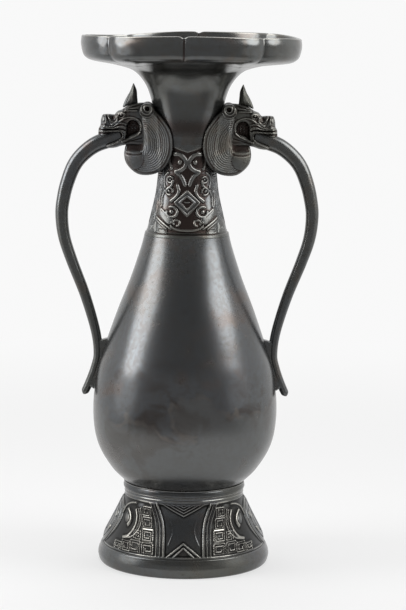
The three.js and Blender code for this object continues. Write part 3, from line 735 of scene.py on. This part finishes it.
def rodMesh():
    path = rodPath()
    rows, sides = len(path), handle["sides"]
    share, along, across, thick, wide = rodFrame(path)
    t = np.linspace(0, 2 * np.pi, sides, endpoint=False)
    c, s = np.sign(np.cos(t)) * np.abs(np.cos(t)) ** 0.96, np.sign(np.sin(t)) * np.abs(np.sin(t)) ** 0.96
    x = path[:, :1] + across[:, :1] * thick[:, None] * c
    z = path[:, 1:] + across[:, 1:] * thick[:, None] * c
    points = np.stack([x, wide[:, None] * s + 0 * x, z], -1).reshape(-1, 3)
    points = np.r_[points, [(path[0, 0], 0, path[0, 1])], [(path[-1, 0], 0, path[-1, 1])]]
    faces = gridFaces(rows, sides).tolist()
    last = (rows - 1) * sides
    for j in range(sides):
        faces.append([rows * sides, (j + 1) % sides, j])
        faces.append([rows * sides + 1, last + j, last + (j + 1) % sides])
    return points, faces


# Points near the rod's own surface are moved exactly onto it, which leaves its fillets alone
def ontoRod(points):
    path = rodPath()
    share, along, across, thick, wide = rodFrame(path)
    result = points.copy()
    for start in range(0, len(points), 4000):
        part = points[start:start + 4000]
        flat = part[:, [0, 2]]
        nearest = ((flat[:, None] - path[None]) ** 2).sum(-1).argmin(1)
        offset = flat - path[nearest]
        slide = (offset * along[nearest]).sum(1)
        inner = nearest + slide / handle["pitch"]
        thickHere = np.interp(inner, np.arange(len(path)), thick)
        wideHere = np.interp(inner, np.arange(len(path)), wide)
        outward = (offset * across[nearest]).sum(1)
        level = (np.abs(outward / thickHere) ** 2.08 + np.abs(part[:, 1] / wideHere) ** 2.08) ** 0.48 + 1e-9
        midRod = (share[nearest] < 0.975) * (share[nearest] > 0.01)
        weight = (1 - smoothStep(np.abs(level - 1), 0.05, 0.14)) * midRod
        change = weight * (1 / level - 1)
        result[start:start + 4000, [0, 2]] += across[nearest] * (outward * change)[:, None]
        result[start:start + 4000, 1] += part[:, 1] * change
    return result


def slabMesh(outline, halfWidth):
    count = len(outline)
    points = [(x, y, z) for y in (-halfWidth, halfWidth) for x, z in outline]
    faces = [list(range(count)), list(range(2 * count - 1, count - 1, -1))]
    faces += [[i, count + i, count + (i + 1) % count, (i + 1) % count] for i in range(count)]
    return np.array(points, float), faces


def joined(parts):
    points, faces, base = [], [], 0
    for part, partFaces in parts:
        if signedVolume(part, partFaces) < 0:
            partFaces = [list(face)[::-1] for face in partFaces]
        points.append(part)
        faces += [[base + int(v) for v in face] for face in partFaces]
        base += len(part)
    return np.concatenate(points), faces


def modified(points, faces, *modifiers):
    mesh = bpy.data.meshes.new("work")
    mesh.from_pydata(np.asarray(points, float).tolist(), [], faces)
    holder = bpy.data.objects.new("work", mesh)
    bpy.context.scene.collection.objects.link(holder)
    for kind, values in modifiers:
        modifier = holder.modifiers.new(kind, kind)
        for key, value in values.items():
            setattr(modifier, key, value)
    shown = holder.evaluated_get(bpy.context.evaluated_depsgraph_get()).to_mesh()
    result = np.array([v.co[:] for v in shown.vertices]), [list(p.vertices) for p in shown.polygons]
    bpy.data.objects.remove(holder)
    bpy.data.meshes.remove(mesh)
    return result


def coreRadius(z):
    beaded = neckCurve + np.c_[neck["bead"] * (neckCurve[:, 1] < neckLow + 1.9), 0 * neckCurve[:, 1]]
    outline = np.r_[bellyCurve, beaded, throat + (0, mouthLow)]
    return np.interp(z, outline[:, 1], outline[:, 0])


# Points that would lie inside the vessel's wall are pushed out to it
def offVessel(points, gap=0.05):
    points = points.copy()
    radius = np.hypot(points[:, 0], points[:, 1])
    least = coreRadius(points[:, 2]) + gap
    inside = radius < least
    points[inside, :2] *= (least[inside] / radius[inside])[:, None]
    return points


# One side is made on the right; the left one is its mirror image
def bothSides(name, points, faces, finish, replaces, wearAndPaintedLight=None):
    for side, sign in (("right", 1), ("left", -1)):
        placed = points * (sign, 1, 1)
        nodes = [f"{side}_{node}" for node in replaces]
        makePiece(f"{side}_{name}", placed, faces, finish, nodes, wearAndPaintedLight)


web = [(lugOut + out, lugZ + up) for out, up in handle["web"]]
handlePoints, handleFaces = joined([rodMesh(), slabMesh(web, handle["lugHalfWidth"])])
handlePoints, handleFaces = modified(
    handlePoints, handleFaces,
    ("REMESH", {"mode": "VOXEL", "voxel_size": handle["voxel"]}),
    ("SMOOTH", {"factor": 0.5, "iterations": 14}))
bothSides("handle_rod", offVessel(ontoRod(handlePoints)), handleFaces, rodFinish, ["handle"])

print("stage: heads and manes")


def insideOf(u, z, outline):
    outline = np.asarray(outline, float)
    within = np.zeros(np.shape(u), bool)
    for (u0, z0), (u1, z1) in zip(outline, np.roll(outline, -1, 0)):
        crosses = (z0 > z) != (z1 > z)
        within ^= crosses & (u < u0 + (z - z0) * (u1 - u0) / (z1 - z0 if z1 != z0 else 1e-12))
    return within


# Points of a fine grid inside an outline, with those at its edge moved onto it
def castGrid(outline, pitch):
    outline = np.asarray(outline, float)
    closed = np.r_[outline, outline[:1]]
    low, high = outline.min(0) - 2 * pitch, outline.max(0) + 2 * pitch
    u, z = np.meshgrid(np.arange(low[0], high[0], pitch), np.arange(low[1], high[1], pitch), indexing="ij")
    nearest = np.zeros(u.shape + (2,))
    best = np.full(u.shape, 1e9)
    for (u0, z0), (u1, z1) in zip(closed[:-1], closed[1:]):
        du, dz = u1 - u0, z1 - z0
        t = np.clip(((u - u0) * du + (z - z0) * dz) / max(du * du + dz * dz, 1e-12), 0, 1)
        pu, pz = u0 + t * du, z0 + t * dz
        gap = (u - pu) ** 2 + (z - pz) ** 2
        closer = gap < best
        best = np.where(closer, gap, best)
        nearest[closer] = np.stack([pu, pz], -1)[closer]
    depth = np.where(insideOf(u, z, outline), 1, -1) * np.sqrt(best)
    keep = depth > -0.5 * pitch
    cell = keep[:-1, :-1] & keep[1:, :-1] & keep[:-1, 1:] & keep[1:, 1:]
    touching = np.zeros(u.shape, int)
    for du, dz in ((0, 0), (1, 0), (0, 1), (1, 1)):
        touching[du:du + cell.shape[0], dz:dz + cell.shape[1]] += cell
    edge = (touching > 0) & (touching < 4)
    u, z = np.where(edge, nearest[..., 0], u), np.where(edge, nearest[..., 1], z)
    depth = np.where(edge, 0, np.maximum(depth, 0.02))
    return {"u": u, "z": z, "depth": depth, "edge": edge, "cell": cell, "used": touching > 0}


# Two skins over one grid, sewn together along its edge
def castMesh(grid, near, far, tone):
    used, edge, cell = grid["used"], grid["edge"], grid["cell"]
    front = np.full(used.shape, -1)
    front[used] = np.arange(used.sum())
    back = np.where(edge, front, -1)
    inner = used & ~edge
    back[inner] = used.sum() + np.arange(inner.sum())
    first = np.stack([grid["u"], near, grid["z"]], -1)[used]
    second = np.stack([grid["u"], far, grid["z"]], -1)[inner]
    i, j = np.nonzero(cell)
    corners = [(i, j), (i + 1, j), (i + 1, j + 1), (i, j + 1)]
    faces = np.stack([front[c] for c in corners], -1).tolist()
    faces += np.stack([back[c] for c in corners], -1)[:, ::-1].tolist()
    return np.r_[first, second], faces, np.r_[tone[used], tone[inner]]


def pillow(depth, edge):
    t = np.clip(depth / edge, 0, 1)
    return np.sqrt(1 - (1 - t) ** 2)


def fieldTone(flat, reach, span):
    return 0.5 + (flat - blurred(flat, reach)) / span


head = {
    "pitch": 0.2, "edge": 3.2, "backWidth": 5.4, "browWidth": 6.7, "noseWidth": 5.4, "rodWidth": 4.75,
    "rodRadius": 6.1, "recess": 2.7,
}
headOutline = curveThrough([
    (20.6, 262.4), (21.2, 275), (22.4, 286.6), (24.5, 288.4), (27.5, 288.5), (31, 288.3), (35.5, 287.4),
    (39.2, 285.3), (41, 284.1), (43.4, 283.2), (44.6, 282), (45.6, 281), (48.4, 281.2), (51.6, 281.1),
    (53, 280.4), (53.9, 277.6), (54.2, 274.3), (55.2, 272.3), (55.4, 268.8), (54.2, 265.4), (52.2, 262.2),
    (49.4, 260.2), (45, 260.4), (40.4, 261.8), (36, 262.6), (30, 262.4), (24, 262.2), (20.6, 262.4),
], 280)[:-1]
jawSocket = curveThrough([
    (57, 270.2), (50, 270.5), (45.3, 270.8), (41.9, 270.9), (40.3, 269.4), (40.4, 267.2), (42.4, 265.2),
    (46.4, 263.3), (51.4, 261.3), (55, 258.6),
], 60)
cheekHollow = curveThrough([
    (38.6, 270.2), (38.4, 274.2), (36.8, 277.3), (34.2, 278.3), (31.2, 277.4), (29.6, 274.8), (29.3, 271.4),
    (31.2, 269.4), (35.2, 267.6), (38.8, 265.9), (38.6, 270.2),
], 60)[:-1]


def shapeHead(grid):
    u, z = grid["u"], grid["z"]
    back, brow, nose = head["backWidth"], head["browWidth"], head["noseWidth"]
    widths = [back, back, brow, brow - 0.6, nose + 0.4, nose]
    form = Relief(grid, np.interp(u, [20, 36, 40.5, 45, 48.5, 56], widths))
    form.dome(36, 283, 9, 5, 1.0, 0.8)
    axis = (z - 266.3) * 0.931 + (u - 46.6) * 0.364
    tube = head["rodWidth"] * np.sqrt(np.clip(1 - (axis / head["rodRadius"]) ** 2, 0.1, 1))
    socket = insideOf(u, z, jawSocket)
    rimAway = pathDistance(u, z, jawSocket)
    form.lift = np.where(socket, 0.8 * tube + (form.lift - 0.8 * tube) * np.exp(-rimAway / 0.35), form.lift)
    hollow = insideOf(u, z, cheekHollow)
    wallAway = pathDistance(u, z, np.r_[cheekHollow, cheekHollow[:1]])
    form.lift = form.lift - head["recess"] * hollow * smoothStep(wallAway, 0, 1.7)
    grain = np.sin(3.1 * u + 1.3 * np.sin(2.3 * z)) * np.sin(2.9 * z + 1.1 * np.sin(2.7 * u))
    form.lift += 0.3 * grain * hollow * smoothStep(wallAway, 0.4, 1.6)
    form.ridge(jawSocket[2:], 1.5, 1.1)
    form.cut(curveThrough([(56.5, 272.2), (52, 271.9), (46, 271.9), (41.4, 272.4), (38.8, 271.6)], 16),
             1.0, 1.3)
    form.ridge(curveThrough([(53.8, 274), (51.2, 273.7), (48.8, 272.8), (46, 272.8), (44.2, 273.3),
                             (42.1, 274), (40, 273.9), (37.6, 273.2)], 24), 0.95, 0.8)
    form.ridge(curveThrough([(48.6, 273.6), (46.6, 273.9), (45, 274.4), (42.8, 275.7), (40.9, 276.1),
                             (39.2, 275.7), (36.4, 274.9)], 20), 1.0, 0.95)
    form.ridge(curveThrough([(47, 275), (44.4, 275.9), (41.6, 277.4), (39, 279), (36.2, 279.7), (32.6, 279),
                             (29.4, 276.8), (28.7, 273.6)], 26), 1.5, 0.8)
    form.ridge(curveThrough([(40.4, 264.7), (37.4, 265.8), (34.2, 267.2), (31.2, 268.6), (29.2, 270.6)],
                            14), 1.5, 0.9)
    form.cut([(38.6, 263.9), (28, 267)], 0.9, 0.5)
    form.dome(51.4, 273.9, 1.9, 1.1, 0.75)
    form.dome(52.4, 269.2, 2.1, 1.3, 0.95)
    form.dome(52.3, 269.0, 0.6, 0.6, 0.35, 1)
    form.dome(41.6, 282.4, 3.3, 1.9, 1.1)
    form.dome(41.2, 280.9, 1.7, 1.15, -1.3, 0.8)
    form.dome(41.3, 281.0, 0.85, 0.75, 0.95)
    form.ring(41.2, 280.9, 2.0, 1.45, 0.6, 0.45, 170, 200)
    form.ridge(curveThrough([(38.4, 281.4), (40, 282.5), (42.4, 282.5), (44.4, 281.2)], 14), 0.9, 0.6)
    form.ridge(curveThrough([(49.4, 281), (48.4, 278.6), (47, 276.9), (45.2, 276.5), (43.8, 277.6),
                             (43.7, 279.4)], 18), 1.15, 0.9)
    form.dome(44.2, 280.1, 0.95, 0.95, 0.9)
    form.dome(46.2, 279.2, 1.2, 1.3, -0.8, 0.8)
    form.ridge(curveThrough([(51.4, 281), (50.6, 278.4), (50.8, 275.8)], 8), 1.1, 0.6)
    form.dome(52.4, 278.4, 1.3, 1.8, 0.8)
    form.cut(curveThrough([(49.9, 280.6), (49.2, 277.4), (48.4, 275.4)], 8), 0.6, 0.5)
    tufts = (((39.2, 285.2), (30.6, 288.0)), ((38.4, 284.6), (30.4, 285.8)), ((38.8, 283.8), (31.4, 283.8)))
    for tip, end in tufts:
        form.ridge([tip, end], 1.35, 0.85)
    form.cut([(38, 285.2), (30.4, 286.9)], 0.6, 0.5)
    form.cut([(38, 284.2), (30.6, 284.7)], 0.6, 0.45)
    flat = form.lift
    tone = fieldTone(flat, 6, 1.1) - 0.3 * hollow * smoothStep(wallAway, 0.2, 1.2) - 0.05 * socket
    return flat * pillow(grid["depth"], head["edge"]), np.clip(tone, 0, 1)


grid = castGrid(headOutline, head["pitch"])
wide, tone = shapeHead(grid)
points, faces, tone = castMesh(grid, -wide, wide, tone)
bothSides("dragon_head", offVessel(points), faces, headFinish, ["head"], tone)

horn = {
    "pitch": 0.2, "halfWidth": 2.5, "edge": 2.8,
    "ridge": [(36.2, 284.6), (35.2, 288), (34.3, 291), (33.9, 299)],
}
hornOutline = curveThrough([
    (31.1, 287.6), (31.5, 292), (31.9, 296), (33.2, 299.2), (34.0, 300.3), (34.9, 298.2), (36.1, 295.2),
    (38.0, 291.8), (39.6, 288.4), (40.2, 285.4), (36, 287), (31.1, 287.6),
], 150)[:-1]
grid = castGrid(hornOutline, horn["pitch"])
away = pathDistance(grid["u"], grid["z"], horn["ridge"])
depth = grid["depth"]
crest = horn["halfWidth"] * (0.6 * pillow(depth, horn["edge"]) + 0.5 * depth / (depth + away + 0.6))
form = Relief(grid, crest)
form.cut(curveThrough([(38.4, 287.4), (36.9, 291), (35.2, 295.4)], 12), 0.7, 0.22)
ridge = np.where(grid["edge"], 0, np.maximum(form.lift, 0.05))
tone = np.clip(0.44 + 0.35 * np.exp(-(away / 0.4) ** 2), 0, 1)
points, faces, tone = castMesh(grid, -ridge, ridge, tone)
bothSides("brow_horn", points, faces, maneFinish, ["horn"], tone)

mane = {
    "pitch": 0.25, "edge": 3.0, "reach": 19.4, "slope": 0.32, "start": 9.2, "hatch": 1.25, "inner": 6.3,
    "curl": (33.6, 254.2), "curlRadius": 6.4, "curlLip": 258.6, "curlTop": 263.4,
}
maneOuter = curveThrough([
    (26.5, 285.2), (20.4, 284.4), (15.2, 279.4), (11.6, 274.2), (9.6, 268.4), (9.2, 261.5), (10.4, 255.6),
    (13.6, 249.6), (18.6, 245.6), (24.6, 244.1), (30.4, 244.7), (35, 247.8), (38.2, 252), (39.2, 257),
    (38.5, 262.2),
], 150)
maneInner = curveThrough([
    (38.5, 262.2), (36.6, 262.6), (33.2, 262.7), (30, 262.8), (27.9, 263.9), (27.5, 267), (28, 273),
    (28.8, 279), (26.5, 285.2),
], 90)[1:-1]


def shapeMane(grid):
    u, z = grid["u"], grid["z"]
    full = mane["reach"] - (u - mane["start"]) * mane["slope"]
    hug = np.sqrt(np.clip((coreRadius(z) + 0.3) ** 2 - u**2, 0, None))
    inner = np.maximum(mane["inner"], hug)
    form = Relief(grid, np.maximum(full - inner, 2.2) - 0.9)
    outerAway = pathDistance(u, z, maneOuter)
    innerAway = pathDistance(u, z, maneInner)
    curl = np.hypot(u - mane["curl"][0], z - mane["curl"][1])
    smooth = smoothStep(curl, mane["curlRadius"] - 0.6, mane["curlRadius"] + 1.0)
    hatch = np.cos(2 * np.pi * (outerAway - 1.5) / mane["hatch"])
    band = smoothStep(outerAway, 1.4, 2.0) * (1 - smoothStep(outerAway, 13.4, 14.4)) * smooth
    band = band * smoothStep(innerAway, 0.9, 1.5)
    form.lift += 0.15 * hatch * band + 0.55 * np.clip(1 - ((outerAway - 0.8) / 0.6) ** 2, 0, 1)
    valley = np.exp(-((outerAway - 9.5) / 3.2) ** 2) * smoothStep(z, 255, 262)
    form.lift -= 1.0 * valley
    form.lift += 1.5 * np.clip(1 - (curl / mane["curlRadius"]) ** 2, 0, 1) ** 0.6
    form.lift += 0.6 * np.clip(1 - ((innerAway - 0.8) / 0.6) ** 2, 0, 1) * (z > 264)
    onCurl = smoothStep(u, 26.8, 28.6) * (z < 266)
    lipRise = mane["curlLip"] + 0.03 * (u - 33.5) ** 2
    form.lift += 0.45 * np.clip(1 - ((z - lipRise + 0.5) / 0.55) ** 2, 0, 1) * onCurl
    form.lift -= 0.35 * np.clip(1 - ((z - lipRise + 1.8) / 0.7) ** 2, 0, 1) * onCurl
    slope = np.clip((mane["curlTop"] - z) / (mane["curlTop"] - lipRise), 0.1, 1)
    form.lift = form.lift * (1 - onCurl * (1 - slope))
    # Painted shade: the curl's top above its lip is painted darker, where the head's underside shades it
    return inner, form.lift, 0.22 * onCurl * (z > lipRise + 0.2)


grid = castGrid(np.r_[maneOuter, maneInner], mane["pitch"])
inner, flat, dark = shapeMane(grid)
outer = inner + flat * pillow(grid["depth"], mane["edge"])
# The tone takes off the painted shade on the curl's top
tone = np.clip(fieldTone(flat, 5, 0.9) - dark, 0, 1)
for face, sign in (("front", -1), ("back", 1)):
    points, faces, shade = castMesh(grid, sign * outer, sign * inner, tone)
    bothSides(f"{face}_mane_scroll", points, faces, maneFinish, [f"{face}_mane"],
                  shade)

ear = {
    "u": 25.2, "z": 283.9, "radius": 4.6, "inner": 6.0, "outer": 14.4, "columns": 96, "rows": 34,
    "hole": (-0.2, 1.5), "holeRadius": 1.5,
}


# A round boss with an off-centre hole, and a groove that winds out of it
def earMesh(sign):
    share = np.linspace(0, 1, ear["rows"])
    radius = ear["radius"] * np.sin(np.pi / 2 * share) ** 0.9
    t = np.linspace(0, 2 * np.pi, ear["columns"], endpoint=False)
    across, up = radius[:, None] * np.cos(t), radius[:, None] * np.sin(t)
    hu, hz = ear["hole"]
    fromHole = np.hypot(across - hu, up - hz)
    turn = np.arctan2(up - hz, across - hu) / (2 * np.pi)
    wind = np.cos(2 * np.pi * (fromHole / 1.9 - turn))
    field = 0.32 * wind * smoothStep(fromHole, 1.6, 2.4) * (1 - 0.7 * share[:, None] ** 6)
    field -= 2.0 * np.clip(1 - (fromHole / ear["holeRadius"]) ** 2, 0, 1) ** 0.6
    field += 0.3 * np.clip(1 - ((fromHole - ear["holeRadius"] - 0.35) / 0.5) ** 2, 0, 1)
    top = ear["outer"] + field - 1.5 * share[:, None] ** 5
    x, z = across + ear["u"], up + ear["z"]
    face = np.stack([x, sign * top, z], -1)[1:]
    rear = np.stack([x[-1], np.full(len(t), sign * ear["inner"]), z[-1]], -1)[None]
    points = np.concatenate([face, rear]).reshape(-1, 3)
    hubs = [(ear["u"], sign * top[0, 0], ear["z"]), (ear["u"], sign * ear["inner"], ear["z"])]
    rows, sides = ear["rows"], ear["columns"]
    faces = gridFaces(rows, sides).tolist()
    for j in range(sides):
        faces.append([rows * sides, (j + 1) % sides, j])
        faces.append([rows * sides + 1, (rows - 1) * sides + j, (rows - 1) * sides + (j + 1) % sides])
    tone = np.r_[np.clip(0.5 + 0.8 * field[1:], 0, 1).ravel(), np.full(sides, 0.4), 0.5, 0.4]
    return np.r_[points, hubs], faces, tone


for face, sign in (("front", -1), ("back", 1)):
    points, faces, tone = earMesh(sign)
    bothSides(f"{face}_ear_curl", points, faces, headFinish, ["head"], tone)

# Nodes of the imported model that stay, with their finish
keptNodes = {
    "base_plate": insideFinish, "right_neck_tenon": rodFinish, "left_neck_tenon": rodFinish,
    "right_belly_tenon": rodFinish, "left_belly_tenon": rodFinish,
}
for node, finish in keptNodes.items():
    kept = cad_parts[node]
    kept.data.materials.clear()
    kept.data.materials.append(finish)

print("stage: floor, light and camera")

room = {
    "floorSize": 6.0, "white": 0.945, "floorWhite": 0.9, "floorPaint": 0.78, "floorGlow": 0.62,
    "nearWhite": 0.1, "farWhite": 0.9, "fill": 0.4, "front": 0.14, "frontLow": 0.36,
    "frontTurn": (-0.75, 0.2), "frontRise": (0.28, 0.5), "tableEdge": (0.25, 0.39),
    "tableFront": (0.06, -0.2), "beyondTable": 0.33,
}


def makeFloor():
    mesh = bpy.data.meshes.new("floor")
    half = room["floorSize"] / 2
    corners = [(-half, -half, 0), (half, -half, 0), (half, half, 0), (-half, half, 0)]
    mesh.from_pydata(corners, [], [(0, 1, 2, 3)])
    floor = bpy.data.objects.new("floor", mesh)
    bpy.context.scene.collection.objects.link(floor)
    paint = bpy.data.materials.new("floorWhite")
    paint.use_nodes = True
    tree = paint.node_tree
    tree.nodes.clear()
    place = addNode(tree, "ShaderNodeTexCoord").outputs["Object"]
    reach = addNode(tree, "ShaderNodeVectorMath", operation="LENGTH")
    link(tree, place, reach.inputs[0])
    far = ramp(tree, reach.outputs["Value"], room["nearWhite"], room["farWhite"])
    share = times(tree, times(tree, far, 1 - room["floorGlow"]), room["floorGlow"], "ADD")
    seen = addNode(tree, "ShaderNodeLightPath")
    direct = times(tree, seen.outputs["Is Camera Ray"], seen.outputs["Is Glossy Ray"], "MAXIMUM")
    direct = times(tree, direct, seen.outputs["Is Transmission Ray"], "MAXIMUM")
    diffuse = addNode(tree, "ShaderNodeBsdfDiffuse")
    diffuse.inputs["Color"].default_value = (room["floorPaint"],) * 3 + (1,)
    glow = addNode(tree, "ShaderNodeEmission")
    near, white = ((room[key],) * 3 + (1,) for key in ("floorWhite", "white"))
    split = addNode(tree, "ShaderNodeSeparateXYZ")
    link(tree, place, split.inputs[0])
    beyond = ramp(tree, reach.outputs["Value"], *room["tableEdge"])
    beyond = times(tree, beyond, ramp(tree, split.outputs["Y"], *room["tableFront"]))
    mirrored = times(tree, seen.outputs["Is Glossy Ray"], beyond)
    glowTone = mixTone(tree, far, near, white)
    glowTone = mixTone(tree, mirrored, glowTone, (room["beyondTable"],) * 3 + (1,))
    link(tree, glowTone, glow.inputs["Color"])
    mix = addNode(tree, "ShaderNodeMixShader")
    link(tree, times(tree, times(tree, share, direct), mirrored, "MAXIMUM"), mix.inputs[0])
    link(tree, diffuse.outputs[0], mix.inputs[1])
    link(tree, glow.outputs[0], mix.inputs[2])
    fromBelow = addNode(tree, "ShaderNodeMixShader")
    link(tree, addNode(tree, "ShaderNodeNewGeometry").outputs["Backfacing"], fromBelow.inputs[0])
    link(tree, mix.outputs[0], fromBelow.inputs[1])
    link(tree, addNode(tree, "ShaderNodeBsdfTransparent").outputs[0], fromBelow.inputs[2])
    out = addNode(tree, "ShaderNodeOutputMaterial")
    link(tree, fromBelow.outputs[0], out.inputs["Surface"])
    floor.data.materials.append(paint)


def makeWorld():
    world = bpy.data.worlds.new("studio")
    bpy.context.scene.world = world
    world.use_nodes = True
    tree = world.node_tree
    tree.nodes.clear()
    seen = addNode(tree, "ShaderNodeLightPath")
    direction = addNode(tree, "ShaderNodeTexCoord").outputs["Generated"]
    split = addNode(tree, "ShaderNodeSeparateXYZ")
    link(tree, direction, split.inputs[0])
    behind = ramp(tree, split.outputs["Y"], *room["frontTurn"])
    white = (room["white"],) * 3 + (1,)
    high = ramp(tree, split.outputs["Z"], *room["frontRise"])
    frontTone = mixTone(tree, high, (room["frontLow"],) * 3 + (1,), (room["front"],) * 3 + (1,))
    roomTone = mixTone(tree, behind, frontTone, white)
    glossy = times(tree, seen.outputs["Is Glossy Ray"], seen.outputs["Is Transmission Ray"], "MAXIMUM")
    fillTone = mixTone(tree, glossy, (room["fill"],) * 3 + (1,), roomTone)
    tone = mixTone(tree, seen.outputs["Is Camera Ray"], fillTone, white)
    sky = addNode(tree, "ShaderNodeBackground")
    link(tree, tone, sky.inputs["Color"])
    out = addNode(tree, "ShaderNodeOutputWorld")
    link(tree, sky.outputs[0], out.inputs["Surface"])


# Soft boxes: compass bearing from the front, distance, height and aim above the table, size and power
softBoxes = [
    {"name": "leftSoftBox", "shape": "ELLIPSE", "bearing": -78, "distance": 0.5, "height": 0.59, "aim": 0.59,
     "wide": 0.38, "tall": 0.74, "power": 3.9},
    {"name": "rightSoftBox", "shape": "ELLIPSE", "bearing": 72, "distance": 0.5, "height": 0.67, "aim": 0.67,
     "wide": 0.48, "tall": 0.72, "power": 4.6},
    {"name": "leftLowBox", "shape": "ELLIPSE", "bearing": -78, "distance": 0.5, "height": 0.15, "aim": 0.15,
     "wide": 0.3, "tall": 0.26, "power": 0.2},
    {"name": "rightLowBox", "shape": "ELLIPSE", "bearing": 70, "distance": 0.5, "height": 0.15, "aim": 0.15,
     "wide": 0.3, "tall": 0.26, "power": 0.09},
    {"name": "topSoftBox", "shape": "RECTANGLE", "bearing": 180, "distance": 0.5, "height": 1.5, "aim": 0.16,
     "wide": 1.0, "tall": 0.8, "power": 9},
]


def makeSoftBox(name, shape, bearing, distance, height, aim, wide, tall, power):
    lamp = bpy.data.lights.new(name, "AREA")
    lamp.shape = shape
    lamp.size, lamp.size_y, lamp.energy = wide, tall, power
    holder = bpy.data.objects.new(name, lamp)
    b = math.radians(bearing)
    holder.location = Vector((math.sin(b) * distance, -math.cos(b) * distance, height))
    toward = holder.location - Vector((0, 0, aim))
    holder.rotation_mode = "QUATERNION"
    holder.rotation_quaternion = toward.to_track_quat("Z", "Y")
    bpy.context.scene.collection.objects.link(holder)


# The photograph's view: a long lens, a little above the rim, hardly turned or tilted
view = {
    "distance": 1.45, "height": 0.368, "down": 8.065, "right": 0.4201, "lean": 0.696,
    "focal": 2341.2, "tall": 610,
}


def makeCamera():
    lens = bpy.data.cameras.new("camera")
    lens.sensor_width = 36
    lens.lens = view["focal"] / view["tall"] * lens.sensor_width
    camera = bpy.data.objects.new("camera", lens)
    down, turn, lean = (math.radians(view[key]) for key in ("down", "right", "lean"))
    ahead = Vector((math.sin(turn) * math.cos(down), math.cos(turn) * math.cos(down), -math.sin(down)))
    right = Vector((math.cos(turn), -math.sin(turn), 0))
    up = right.cross(ahead)
    side = right * math.cos(lean) + up * math.sin(lean)
    top = up * math.cos(lean) - right * math.sin(lean)
    basis = Matrix((side, top, -ahead)).transposed().to_4x4()
    camera.matrix_world = Matrix.Translation((0, -view["distance"], view["height"])) @ basis
    bpy.context.scene.collection.objects.link(camera)
    bpy.context.scene.camera = camera


makeFloor()
makeWorld()
for softBox in softBoxes:
    makeSoftBox(**softBox)
makeCamera()
bpy.context.scene.view_settings.view_transform = "Standard"

print("stage: done")
